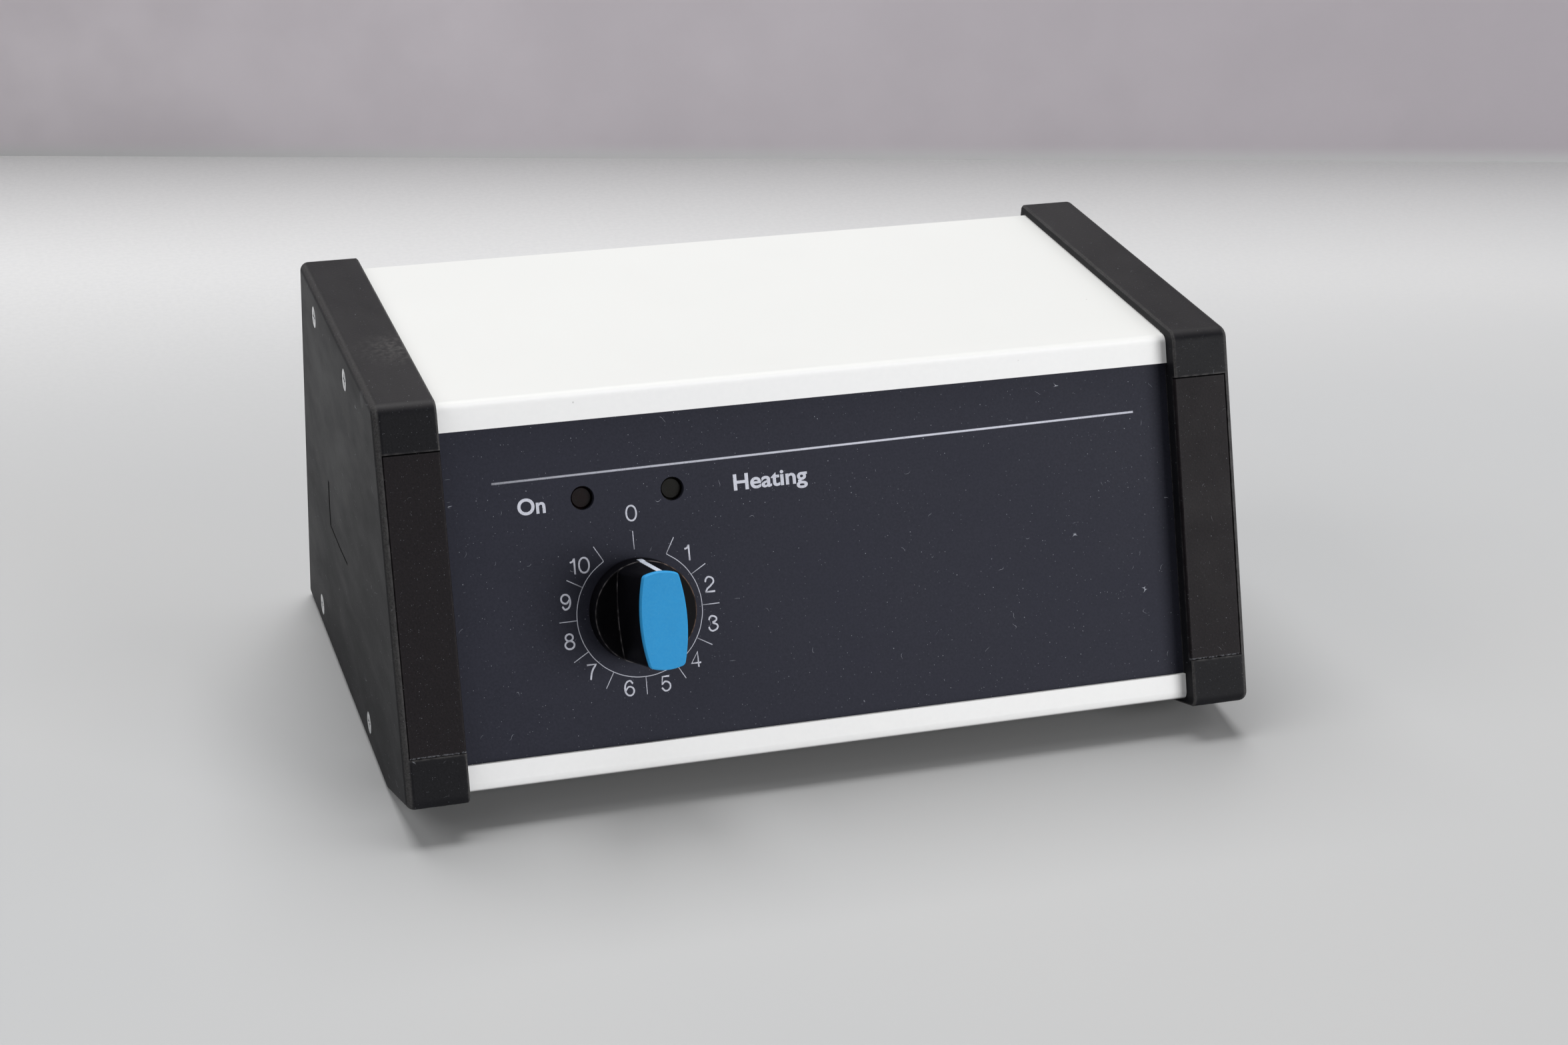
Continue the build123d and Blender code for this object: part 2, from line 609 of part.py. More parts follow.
with BuildPart() as bush_washer:
    with BuildSketch(dial_plane):
        Circle(WASHER_RADIUS)
        Circle(BUSH_RADIUS + HOLE_PLAY, mode=Mode.SUBTRACT)
    extrude(amount=WASHER_THICKNESS)

with BuildPart() as bush_nut:
    with BuildSketch(dial_plane.offset(WASHER_THICKNESS)):
        add(hexagon(NUT_ACROSS_FLATS))
        Circle(BUSH_RADIUS + THREAD_PLAY, mode=Mode.SUBTRACT)
    extrude(amount=NUT_THICKNESS)

with BuildPart() as dial_shaft:
    with BuildSketch(dial_plane.offset(panel_back - SHAFT_ROOT + FIT_GAP)):
        Circle(SHAFT_RADIUS)
    extrude(amount=SHAFT_ROOT - panel_back - FIT_GAP + BUSH_TOP)
    with BuildSketch(dial_plane.offset(BUSH_TOP)):
        add(flatted_circle(SHAFT_RADIUS, SHAFT_FLAT))
    extrude(amount=SHAFT_TOP - BUSH_TOP)
    chamfer(dial_shaft.faces().sort_by(panel_axis)[-1].edges(), length=SHAFT_CHAMFER)

# ------------------------------------------------------------------ pilot lamps
lamp_places = {"lens_left": (LAMP_LEFT, LAMP_UP), "lens_right": (LAMP_RIGHT, LAMP_UP)}
lamp_lenses = {}
for lens_name, lens_place in lamp_places.items():
    with BuildPart() as lens:
        with BuildSketch(dial_plane.offset(-LENS_SINK)):
            with Locations(lens_place):
                Circle(LENS_RADIUS)
        extrude(amount=LENS_SINK - LENS_LENGTH)
        chamfer(lens.faces().sort_by(panel_axis)[-1].edges(), length=LENS_DOME)
        with BuildSketch(dial_plane.offset(panel_back)):
            with Locations(lens_place):
                Circle(LENS_FLANGE_RADIUS)
        extrude(amount=-LENS_FLANGE)
    lamp_lenses[lens_name] = lens

lamp_middle = (LAMP_LEFT + LAMP_RIGHT) / 2
spacer_places = [(lamp_middle - SPACER_REACH, LAMP_UP), (lamp_middle + SPACER_REACH, LAMP_UP)]
board_front = panel_back - BOARD_DEPTH
board_back = board_front - BOARD_THICKNESS
with BuildPart() as lamp_board:
    with BuildSketch(dial_plane.offset(board_front)):
        with Locations((lamp_middle, LAMP_UP)):
            Rectangle(BOARD_LENGTH, BOARD_HEIGHT)
        with Locations(*spacer_places):
            Circle(SPACER_SCREW_RADIUS + HOLE_PLAY, mode=Mode.SUBTRACT)
    extrude(amount=-BOARD_THICKNESS)

with BuildPart() as lamp_leds:
    with BuildSketch(dial_plane.offset(board_front)):
        with Locations(*lamp_places.values()):
            Circle(LED_RADIUS)
    extrude(amount=BOARD_DEPTH + panel_back - LENS_LENGTH - FIT_GAP + PANEL_THICKNESS)

with BuildPart() as board_spacers:
    with BuildSketch(dial_plane.offset(panel_back)):
        with Locations(*spacer_places):
            add(hexagon(SPACER_FLATS))
    extrude(amount=-BOARD_DEPTH)
    with BuildSketch(dial_plane.offset(board_front)):
        with Locations(*spacer_places):
            Circle(SPACER_SCREW_RADIUS + THREAD_PLAY)
    extrude(amount=BOARD_DEPTH / 2, mode=Mode.SUBTRACT)

with BuildPart() as board_screws:
    with BuildSketch(dial_plane.offset(board_back)):
        with Locations(*spacer_places):
            Circle(SPACER_SCREW_HEAD)
    extrude(amount=-SPACER_SCREW_HEAD_HEIGHT)
    with BuildSketch(dial_plane.offset(board_back)):
        with Locations(*spacer_places):
            Circle(SPACER_SCREW_RADIUS)
    extrude(amount=BOARD_THICKNESS + BOARD_DEPTH / 2 - FIT_GAP)

# ------------------------------------------------------------------ outlet socket
socket_floor = SOCKET_FLANGE_THICKNESS - SOCKET_RECESS_DEPTH
socket_back = socket_floor - SOCKET_FLOOR
contact_places = [(-CONTACT_SPACING / 2, 0), (CONTACT_SPACING / 2, 0)]
with BuildPart() as socket_body:
    with BuildSketch(rear_plane(socket_x, REAR_CENTRE)) as socket_flange:
        Rectangle(SOCKET_FLANGE, SOCKET_FLANGE)
        fillet(socket_flange.vertices(), radius=SOCKET_FLANGE_CORNER)
        with Locations(*socket_screw_places):
            Circle(REAR_SCREW_RADIUS + HOLE_PLAY, mode=Mode.SUBTRACT)
    extrude(amount=SOCKET_FLANGE_THICKNESS)
    with BuildSketch(rear_plane(socket_x, REAR_CENTRE, socket_back)):
        Circle(socket_cup_radius)
    extrude(amount=-socket_back)
    with BuildSketch(rear_plane(socket_x, REAR_CENTRE, socket_floor)):
        Circle(SOCKET_RECESS_RADIUS)
        for rib_side in (-1, 1):
            with Locations((rib_side * SOCKET_RECESS_RADIUS, 0)):
                Rectangle(2 * SOCKET_RIB_HEIGHT, SOCKET_RIB_WIDTH, mode=Mode.SUBTRACT)
    extrude(amount=SOCKET_RECESS_DEPTH, mode=Mode.SUBTRACT)
    with BuildSketch(rear_plane(socket_x, REAR_CENTRE, socket_back)):
        with Locations(*contact_places):
            Circle(CONTACT_HOLE_RADIUS)
    extrude(amount=SOCKET_FLOOR, mode=Mode.SUBTRACT)

with BuildPart() as socket_contacts:
    with BuildSketch(rear_plane(socket_x, REAR_CENTRE, socket_back)):
        with Locations(*contact_places):
            Circle(CONTACT_TUBE_RADIUS)
            Circle(CONTACT_HOLE_RADIUS, mode=Mode.SUBTRACT)
    extrude(amount=-CONTACT_TUBE_LENGTH)

clip_seat = SOCKET_RECESS_RADIUS * cos(EARTH_CLIP_WIDTH / 2 / SOCKET_RECESS_RADIUS) - FIT_GAP
clip_crest = clip_seat - EARTH_CLIP_BOW
clip_ramp = (SOCKET_RECESS_DEPTH - EARTH_CLIP_FLAT) / 2
clip_path = [
    (rear_y + socket_floor + EARTH_CLIP_THICKNESS / 2, clip_seat),
    (rear_y + socket_floor + clip_ramp, clip_crest),
    (rear_y + SOCKET_FLANGE_THICKNESS - clip_ramp, clip_crest),
    (rear_y + SOCKET_FLANGE_THICKNESS - EARTH_CLIP_BOW, clip_seat),
]
with BuildPart() as socket_clips:
    for clip_side in (-1, 1):
        clip_points = [(y, REAR_CENTRE + clip_side * up) for y, up in clip_path]
        with BuildSketch(Plane.YZ.offset(socket_x - EARTH_CLIP_WIDTH / 2)):
            with BuildLine():
                FilletPolyline(*clip_points, radius=EARTH_CLIP_BOW)
                offset(amount=EARTH_CLIP_THICKNESS, side=Side.RIGHT if clip_side > 0 else Side.LEFT)
            make_face()
        extrude(amount=EARTH_CLIP_WIDTH)

# ------------------------------------------------------------------ mains inlet
inlet_floor = INLET_FLANGE_THICKNESS - INLET_RECESS_DEPTH
inlet_back = inlet_floor - INLET_FLOOR
pin_places = [(-PIN_SPACING, -PIN_OFFSET), (0, PIN_OFFSET), (PIN_SPACING, -PIN_OFFSET)]


def inlet_outline(width, height, bevel):
    """Rectangle with both upper corners cut off, as an appliance inlet has."""
    with BuildSketch(mode=Mode.PRIVATE) as face:
        Rectangle(width, height)
        chamfer(face.vertices().group_by(Axis.Y)[-1], length=bevel)
    return face.sketch


with BuildPart() as inlet_body:
    with BuildSketch(rear_plane(inlet_x, REAR_CENTRE)) as inlet_flange:
        Rectangle(INLET_FLANGE_LENGTH, INLET_FLANGE_HEIGHT)
        fillet(inlet_flange.vertices(), radius=INLET_FLANGE_CORNER)
        with Locations(*inlet_screw_places):
            Circle(REAR_SCREW_RADIUS + HOLE_PLAY, mode=Mode.SUBTRACT)
    extrude(amount=INLET_FLANGE_THICKNESS)
    with BuildSketch(rear_plane(inlet_x, REAR_CENTRE, inlet_back)):
        Rectangle(inlet_body_width, inlet_body_height)
    extrude(amount=-inlet_back)
    with BuildSketch(rear_plane(inlet_x, REAR_CENTRE, inlet_floor)):
        add(inlet_outline(INLET_RECESS_WIDTH, INLET_RECESS_HEIGHT, INLET_BEVEL))
    extrude(amount=INLET_RECESS_DEPTH, mode=Mode.SUBTRACT)
    with BuildSketch(rear_plane(inlet_x, REAR_CENTRE, inlet_back)):
        with Locations(*pin_places):
            Rectangle(PIN_WIDTH + 2 * THREAD_PLAY, PIN_HEIGHT + 2 * THREAD_PLAY)
    extrude(amount=INLET_FLOOR, mode=Mode.SUBTRACT)

with BuildPart() as inlet_pins:
    with BuildSketch(rear_plane(inlet_x, REAR_CENTRE, inlet_back - PIN_TAIL)):
        with Locations(*pin_places):
            Rectangle(PIN_WIDTH, PIN_HEIGHT)
    extrude(amount=PIN_TAIL + INLET_FLOOR + PIN_LENGTH)

# ------------------------------------------------------------------ fuse holder
with BuildPart() as fuse_holder:
    with BuildSketch(rear_plane(FUSE_X, REAR_CENTRE)):
        Circle(FUSE_FLANGE_RADIUS)
    extrude(amount=FUSE_FLANGE_THICKNESS)
    with BuildSketch(rear_plane(FUSE_X, REAR_CENTRE)):
        Circle(FUSE_BODY_RADIUS)
    extrude(amount=-FUSE_BODY_LENGTH)

with BuildPart() as fuse_cap:
    with BuildSketch(rear_plane(FUSE_X, REAR_CENTRE, FUSE_FLANGE_THICKNESS)):
        Circle(FUSE_CAP_RADIUS)
    extrude(amount=FUSE_CAP_HEIGHT)
    chamfer(fuse_cap.faces().sort_by(Axis.Y)[-1].edges(), length=FUSE_CAP_EDGE)
    with BuildSketch(rear_plane(FUSE_X, REAR_CENTRE, FUSE_FLANGE_THICKNESS + FUSE_CAP_HEIGHT)):
        Rectangle(2 * FUSE_CAP_RADIUS, FUSE_SLOT_WIDTH)
    extrude(amount=-FUSE_SLOT_DEPTH, mode=Mode.SUBTRACT)

with BuildPart() as fuse_nut:
    with BuildSketch(rear_plane(FUSE_X, REAR_CENTRE, -SHEET)):
        add(hexagon(FUSE_NUT_FLATS))
        Circle(FUSE_BODY_RADIUS + THREAD_PLAY, mode=Mode.SUBTRACT)
    extrude(amount=-FUSE_NUT_THICKNESS)

# ------------------------------------------------------------------ screws of the back
rear_fixings = [
    ("rear_screws", 0.0, 0.0, FIT_GAP + SHEET, rear_screw_places),
    ("socket_screws", socket_x, REAR_CENTRE, SOCKET_FLANGE_THICKNESS, socket_screw_places),
    ("inlet_screws", inlet_x, REAR_CENTRE, INLET_FLANGE_THICKNESS, inlet_screw_places),
]
rear_fixing_parts = {}
for fixing_name, fixing_x, fixing_z, seat, places in rear_fixings:
    head_plane = rear_plane(fixing_x, fixing_z, seat)
    with BuildPart() as fixing:
        with BuildSketch(head_plane):
            with Locations(*places):
                Circle(REAR_SCREW_HEAD)
        extrude(amount=REAR_SCREW_HEAD_HEIGHT)
        chamfer(fixing.faces().group_by(Axis.Y)[-1].edges(), length=REAR_SCREW_EDGE)
        with BuildSketch(head_plane):
            with Locations(*places):
                Circle(REAR_SCREW_RADIUS)
        extrude(amount=-REAR_SCREW_LENGTH)
        with BuildSketch(head_plane.offset(REAR_SCREW_HEAD_HEIGHT)):
            with Locations(*places):
                Rectangle(CROSS_SLOT_LENGTH, CROSS_SLOT_WIDTH)
                Rectangle(CROSS_SLOT_WIDTH, CROSS_SLOT_LENGTH)
        extrude(amount=-CROSS_SLOT_DEPTH, mode=Mode.SUBTRACT)
    rear_fixing_parts[fixing_name] = fixing

# ------------------------------------------------------------------ terminal block and earth stud
terminal_plane = Plane(
    origin=(TERMINAL_X - TERMINAL_LENGTH / 2, foot_front + TERMINAL_Y, floor_z),
    x_dir=(0, 1, 0),
    z_dir=(1, 0, 0),
)
terminal_pitch = TERMINAL_LENGTH / TERMINAL_POLES
terminal_first = TERMINAL_X - TERMINAL_LENGTH / 2 + terminal_pitch / 2
terminal_xs = [terminal_first + pole * terminal_pitch for pole in range(TERMINAL_POLES)]
terminal_half = TERMINAL_WIDTH / 2
terminal_top_half = TERMINAL_TOP_WIDTH / 2
terminal_places = [(x, foot_front + TERMINAL_Y) for x in terminal_xs]
terminal_top_z = floor_z + TERMINAL_HEIGHT
with BuildPart() as terminal_block:
    with BuildSketch(terminal_plane):
        add(
            outline_face(
                [
                    (-terminal_half, 0),
                    (terminal_half, 0),
                    (terminal_half, TERMINAL_HEIGHT / 2),
                    (terminal_top_half, TERMINAL_HEIGHT),
                    (-terminal_top_half, TERMINAL_HEIGHT),
                    (-terminal_half, TERMINAL_HEIGHT / 2),
                ]
            )
        )
    extrude(amount=TERMINAL_LENGTH)
    with BuildSketch(Plane.XY.offset(terminal_top_z)):
        with Locations(*terminal_places):
            Circle(TERMINAL_SCREW_RADIUS + THREAD_PLAY)
    extrude(amount=-TERMINAL_SCREW_SINK - TERMINAL_SCREW_DEPTH, mode=Mode.SUBTRACT)
    with BuildSketch(Plane.XZ.offset(-foot_front - TERMINAL_Y - terminal_half)):
        with Locations(*[(x, floor_z + TERMINAL_WIRE_HEIGHT) for x in terminal_xs]):
            Circle(TERMINAL_WIRE_RADIUS)
    extrude(amount=TERMINAL_WIDTH, mode=Mode.SUBTRACT)

with BuildPart() as terminal_screws:
    with BuildSketch(Plane.XY.offset(terminal_top_z - TERMINAL_SCREW_SINK)):
        with Locations(*terminal_places):
            Circle(TERMINAL_SCREW_RADIUS)
            Rectangle(2 * TERMINAL_SCREW_RADIUS, CROSS_SLOT_WIDTH, mode=Mode.SUBTRACT)
    extrude(amount=-CROSS_SLOT_DEPTH)
    with BuildSketch(Plane.XY.offset(terminal_top_z - TERMINAL_SCREW_SINK - CROSS_SLOT_DEPTH)):
        with Locations(*terminal_places):
            Circle(TERMINAL_SCREW_RADIUS)
    extrude(amount=CROSS_SLOT_DEPTH - TERMINAL_SCREW_DEPTH)

earth_place = (EARTH_X, foot_front + EARTH_Y)
with BuildPart() as earth_stud:
    with BuildSketch(Plane.XY.offset(floor_z)):
        with Locations(earth_place):
            Circle(EARTH_BASE_RADIUS)
    extrude(amount=EARTH_BASE_THICKNESS)
    with BuildSketch(Plane.XY.offset(floor_z + EARTH_BASE_THICKNESS)):
        with Locations(earth_place):
            Circle(EARTH_STUD_RADIUS)
    extrude(amount=EARTH_STUD_HEIGHT)

with BuildPart() as earth_nut:
    with BuildSketch(Plane.XY.offset(floor_z + EARTH_BASE_THICKNESS)):
        with Locations(earth_place):
            add(hexagon(EARTH_NUT_FLATS))
            Circle(EARTH_STUD_RADIUS + THREAD_PLAY, mode=Mode.SUBTRACT)
    extrude(amount=EARTH_NUT_THICKNESS)

# ------------------------------------------------------------------ one file per piece
pieces = {
    "cheek_left": cheek_left,
    "cheek_right": cheek_right,
    "trim_left": trim_left,
    "trim_right": trim_right,
    "cover_top": cover_top,
    "shell_bottom": shell_bottom,
    "panel_front": panel_front,
    "panel_rear": panel_rear,
    "tie_bars": tie_bars,
    "screws_left": screws_left,
    "screws_right": screws_right,
    "knob": knob,
    "knob_cap": knob_cap,
    "knob_pointer": knob_pointer,
    "dial_shaft": dial_shaft,
    "regulator_body": regulator_body,
    "regulator_spades": regulator_spades,
    "regulator_bush": regulator_bush,
    "bush_washer": bush_washer,
    "bush_nut": bush_nut,
    "lamp_board": lamp_board,
    "lamp_leds": lamp_leds,
    "board_spacers": board_spacers,
    "board_screws": board_screws,
    "socket_body": socket_body,
    "socket_contacts": socket_contacts,
    "socket_clips": socket_clips,
    "inlet_body": inlet_body,
    "inlet_pins": inlet_pins,
    "fuse_holder": fuse_holder,
    "fuse_cap": fuse_cap,
    "fuse_nut": fuse_nut,
    "terminal_block": terminal_block,
    "terminal_screws": terminal_screws,
    "earth_stud": earth_stud,
    "earth_nut": earth_nut,
}
pieces.update(lamp_lenses)
pieces.update(rear_fixing_parts)

os.makedirs("parts", exist_ok=True)
for name, piece in pieces.items():
    piece.part.label = name
    export_step(piece.part, f"parts/{name}.step")
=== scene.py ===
import json
from math import cos, radians, sin

import bmesh
import bpy
from mathutils import Matrix, Vector


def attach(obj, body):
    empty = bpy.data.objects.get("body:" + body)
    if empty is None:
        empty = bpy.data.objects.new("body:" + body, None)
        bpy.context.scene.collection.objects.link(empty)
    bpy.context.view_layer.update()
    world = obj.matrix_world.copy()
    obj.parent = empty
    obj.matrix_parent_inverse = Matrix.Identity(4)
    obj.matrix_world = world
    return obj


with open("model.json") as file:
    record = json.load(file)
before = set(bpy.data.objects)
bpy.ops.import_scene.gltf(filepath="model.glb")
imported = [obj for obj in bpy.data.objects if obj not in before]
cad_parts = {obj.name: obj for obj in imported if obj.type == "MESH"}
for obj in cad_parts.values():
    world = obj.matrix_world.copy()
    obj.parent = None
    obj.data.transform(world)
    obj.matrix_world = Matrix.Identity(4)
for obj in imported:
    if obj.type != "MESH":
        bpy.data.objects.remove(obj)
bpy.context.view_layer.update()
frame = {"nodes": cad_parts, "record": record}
MM = 0.001
BACKWARD = Vector((0, 1, 0))
UPWARD = Vector((0, 0, 1))
LEFTWARD = Vector((-1, 0, 0))

# ------------------------------------------------------------------ places on the controller
# the front panel leans back; the dial stands square to it
PANEL_TILT = radians(19.2)
PANEL_RIGHT = Vector((1, 0, 0))
PANEL_UP = Vector((0, sin(PANEL_TILT), cos(PANEL_TILT)))
PANEL_OUT = Vector((0, -cos(PANEL_TILT), sin(PANEL_TILT)))
# millimetres
DIAL_AXIS = Vector((-51.9, -52.708, 50.251))
RING_BELOW_AXIS = 0.9
RING_CENTRE = DIAL_AXIS - RING_BELOW_AXIS * PANEL_UP
PRINT_ROLL = radians(0.59)
CHEEK_FACE_X = -118.8
CHEEK_MARKS_Y = -41.0
# metres, for the shaders
SKIRT_TOP = 0.007  # the knob's skirt, out from the panel
TRIM_LOW_END = -0.0312  # the trim strips' ends, up the panel from the dial
TRIM_HIGH_END = 0.04747
DUSTY_SPOT = Vector((-0.1036, 0.0, 0.1088))
DUSTY_REACH = 0.016
PIN_MARK = Vector((-0.1188, -0.0251, 0.1057))
PIN_MARK_RADIUS = 0.0024
GRIP_MIDDLE_X = -0.052
GRIP_RIGHT_X = -0.042


def frame_of(origin, right, up, out):
    """Matrix from a drawing in millimetres (right, up, out) to the shared frame in metres."""
    axes = Matrix((right, up, out)).transposed().to_4x4()
    return Matrix.Translation(Vector(origin) * MM) @ axes @ Matrix.Scale(MM, 4)


def print_frame():
    """The printed legend's own frame on the front panel, rolled a little against the case."""
    right = cos(PRINT_ROLL) * PANEL_RIGHT + sin(PRINT_ROLL) * PANEL_UP
    up = cos(PRINT_ROLL) * PANEL_UP - sin(PRINT_ROLL) * PANEL_RIGHT
    return frame_of(RING_CENTRE, right, up, PANEL_OUT)


# ------------------------------------------------------------------ small helpers for meshes
def object_of(name, bm, material):
    """Turns a finished bmesh into an object with its finish."""
    mesh = bpy.data.meshes.new(name)
    bm.to_mesh(mesh)
    bm.free()
    mesh.materials.append(material)
    made = bpy.data.objects.new(name, mesh)
    bpy.context.scene.collection.objects.link(made)
    return made


def keep_piece(name, bm, place, material, body="housing"):
    """Turns a finished bmesh into a piece at its place, with its finish, riding on its body."""
    bmesh.ops.transform(bm, matrix=place, verts=bm.verts)
    bmesh.ops.recalc_face_normals(bm, faces=bm.faces)
    piece = object_of(name, bm, material)
    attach(piece, body)


def mesh_from_curve(curve_data):
    """The mesh that a curve or text gives, as a bmesh; the curve itself isn't kept."""
    helper = bpy.data.objects.new("outline", curve_data)
    bpy.context.scene.collection.objects.link(helper)
    bpy.context.view_layer.update()
    depsgraph = bpy.context.evaluated_depsgraph_get()
    mesh = bpy.data.meshes.new_from_object(helper.evaluated_get(depsgraph))
    bm = bmesh.new()
    bm.from_mesh(mesh)
    bpy.data.objects.remove(helper)
    bpy.data.meshes.remove(mesh)
    return bm


def flatten_ink(bm, height):
    """Presses a drawn stroke flat, so that it stands the height of a print above its panel."""
    deepest = max(abs(v.co.z) for v in bm.verts)
    bmesh.ops.scale(bm, vec=(1, 1, height / deepest), verts=bm.verts)


# ------------------------------------------------------------------ small helpers for shader nodes
def srgb(red, green, blue):
    """Linear colour, with full opacity, of an 8-bit sRGB value."""
    shares = [channel / 255 for channel in (red, green, blue)]
    linear = [s / 12.92 if s < 0.04045 else ((s + 0.055) / 1.055) ** 2.4 for s in shares]
    return (*linear, 1.0)


def colour_between(share, under, over):
    """Fixed colour that lies share of the way from under to over."""
    return tuple(u + share * (o - u) for u, o in zip(under, over))


def put(tree, kind, feeds=None, **settings):
    """Adds a node. feeds maps an input to a value or to the output that drives it."""
    made = tree.nodes.new(kind)
    for key, value in settings.items():
        setattr(made, key, value)
    for key, value in (feeds or {}).items():
        socket = made.inputs[key]
        if isinstance(value, bpy.types.NodeSocket):
            tree.links.new(value, socket)
        else:
            socket.default_value = value
    return made


def calc(tree, operation, *values, clamp=False):
    """A Math node's output."""
    feeds = dict(enumerate(values))
    return put(tree, "ShaderNodeMath", feeds, operation=operation, use_clamp=clamp).outputs[0]


def weaken(tree, mask, share):
    """A mask at part of its strength."""
    return calc(tree, "MULTIPLY", mask, share)


def both_masks(tree, first, second):
    """Where either mask shows, the stronger one counts."""
    return calc(tree, "MAXIMUM", first, second)


def parts_of(tree, vector):
    """X, Y and Z of a vector."""
    return put(tree, "ShaderNodeSeparateXYZ", {"Vector": vector}).outputs


def normal_parts(tree):
    """X, Y and Z of the direction that the surface faces."""
    return parts_of(tree, put(tree, "ShaderNodeNewGeometry").outputs["Normal"])


def fade(tree, value, low, high, start=0.0, end=1.0):
    """value runs from low to high while the result runs smoothly from start to end."""
    feeds = {"Value": value, "From Min": low, "From Max": high, "To Min": start, "To Max": end}
    return put(tree, "ShaderNodeMapRange", feeds, interpolation_type="SMOOTHSTEP").outputs[0]


def tint(tree, share, under, over):
    """Colour that goes from under to over by share."""
    return put(tree, "ShaderNodeMix", {0: share, 6: under, 7: over}, data_type="RGBA").outputs[2]


def noise(tree, place, scale, detail=3.0, roughness=0.55, distortion=0.0):
    """Smooth cloudy noise from 0 to 1; scale is in waves per metre."""
    feeds = {
        "Vector": place,
        "Scale": scale,
        "Detail": detail,
        "Roughness": roughness,
        "Distortion": distortion,
    }
    return put(tree, "ShaderNodeTexNoise", feeds).outputs["Fac"]


def scattered_cells(tree, place, scale):
    """Outputs of a Voronoi pattern with a random colour in each cell; scale is in cells per metre."""
    return put(tree, "ShaderNodeTexVoronoi", {"Vector": place, "Scale": scale, "Randomness": 1.0}).outputs


def stretched(tree, place, stretch):
    """Object coordinates pulled longer or shorter along each axis."""
    return put(tree, "ShaderNodeMapping", {"Vector": place, "Scale": stretch}).outputs[0]


def make_group(name, amounts, outputs):
    """An empty node group that takes the place and the named amounts, and its ends."""
    group = bpy.data.node_groups.new(name, "ShaderNodeTree")
    group.interface.new_socket("Place", in_out="INPUT", socket_type="NodeSocketVector")
    for label in amounts:
        group.interface.new_socket(label, in_out="INPUT", socket_type="NodeSocketFloat")
    for label in outputs:
        group.interface.new_socket(label, in_out="OUTPUT", socket_type="NodeSocketFloat")
    entry = group.nodes.new("NodeGroupInput")
    leave = group.nodes.new("NodeGroupOutput")
    return group, entry.outputs, leave.inputs


def fill(tree, group, feeds):
    """Places a shared effect in a material with that material's own values."""
    return put(tree, "ShaderNodeGroup", feeds, node_tree=group).outputs


# ------------------------------------------------------------------ shared surface effects
def build_dust_specks():
    """Loose pale specks of several sizes, scattered unevenly."""
    amounts = ("Cells per metre", "Speck size", "Amount", "Patchiness")
    group, given, result = make_group("Dust specks", amounts, ["Mask"])
    specks = scattered_cells(group, given["Place"], given["Cells per metre"])
    chance = put(group, "ShaderNodeSeparateColor", {"Color": specks["Color"]}).outputs
    patches = calc(group, "SUBTRACT", noise(group, given["Place"], 22.0, detail=2.0), 0.5)
    crowd = calc(group, "MULTIPLY_ADD", patches, given["Patchiness"], given["Amount"])
    present = calc(group, "LESS_THAN", chance["Red"], crowd)
    size = calc(group, "MULTIPLY", given["Speck size"], calc(group, "ADD", 0.35, chance["Green"]))
    edge = fade(group, specks["Distance"], weaken(group, size, 0.5), size, 1.0, 0.0)
    strength = calc(group, "ADD", 0.35, weaken(group, chance["Blue"], 0.65))
    mask = calc(group, "MULTIPLY", calc(group, "MULTIPLY", present, edge), strength)
    group.links.new(mask, result["Mask"])
    return group


def build_lint_fibres():
    """Short curled fibres, cut from the level lines of a noise."""
    amounts = ("Curl per metre", "Thickness", "Amount")
    group, given, result = make_group("Lint fibres", amounts, ["Mask"])
    level = noise(group, given["Place"], given["Curl per metre"], detail=0.0)
    off_level = calc(group, "ABSOLUTE", calc(group, "SUBTRACT", level, 0.5))
    line = fade(group, off_level, weaken(group, given["Thickness"], 0.4), given["Thickness"], 1.0, 0.0)
    pieces = scattered_cells(group, given["Place"], weaken(group, given["Curl per metre"], 0.9))
    chance = put(group, "ShaderNodeSeparateColor", {"Color": pieces["Color"]}).outputs["Red"]
    chosen = calc(group, "LESS_THAN", chance, given["Amount"])
    near = fade(group, pieces["Distance"], 0.15, 0.4, 1.0, 0.0)
    mask = calc(group, "MULTIPLY", calc(group, "MULTIPLY", line, chosen), near)
    group.links.new(mask, result["Mask"])
    return group


def build_moulded_grain():
    """Fine spark-eroded grain of a mould, with a slower waviness under it."""
    amounts = ("Grains per metre", "Waviness")
    group, given, result = make_group("Moulded grain", amounts, ["Height", "Tone"])
    grain = noise(group, given["Place"], given["Grains per metre"], detail=2.0, roughness=0.6)
    pits = scattered_cells(group, given["Place"], weaken(group, given["Grains per metre"], 0.7))
    wave = noise(group, given["Place"], 90.0, detail=2.0)
    pitted = calc(group, "MULTIPLY_ADD", pits["Distance"], 0.35, grain)
    group.links.new(calc(group, "MULTIPLY_ADD", wave, given["Waviness"], pitted), result["Height"])
    group.links.new(grain, result["Tone"])
    return group


def build_smudges():
    """Broad handling marks and a thin film of dust."""
    amounts = ("Patches per metre", "Contrast")
    group, given, result = make_group("Smudges", amounts, ["Mask"])
    scale = given["Patches per metre"]
    broad = noise(group, given["Place"], scale, detail=4.0, roughness=0.6, distortion=0.6)
    fine = noise(group, given["Place"], calc(group, "MULTIPLY", scale, 7.0), detail=3.0)
    film = calc(group, "MULTIPLY_ADD", fine, 0.3, weaken(group, broad, 0.7))
    spread = calc(group, "DIVIDE", 0.2, given["Contrast"])
    low = calc(group, "SUBTRACT", 0.5, spread)
    high = calc(group, "ADD", 0.5, spread)
    group.links.new(fade(group, film, low, high), result["Mask"])
    return group


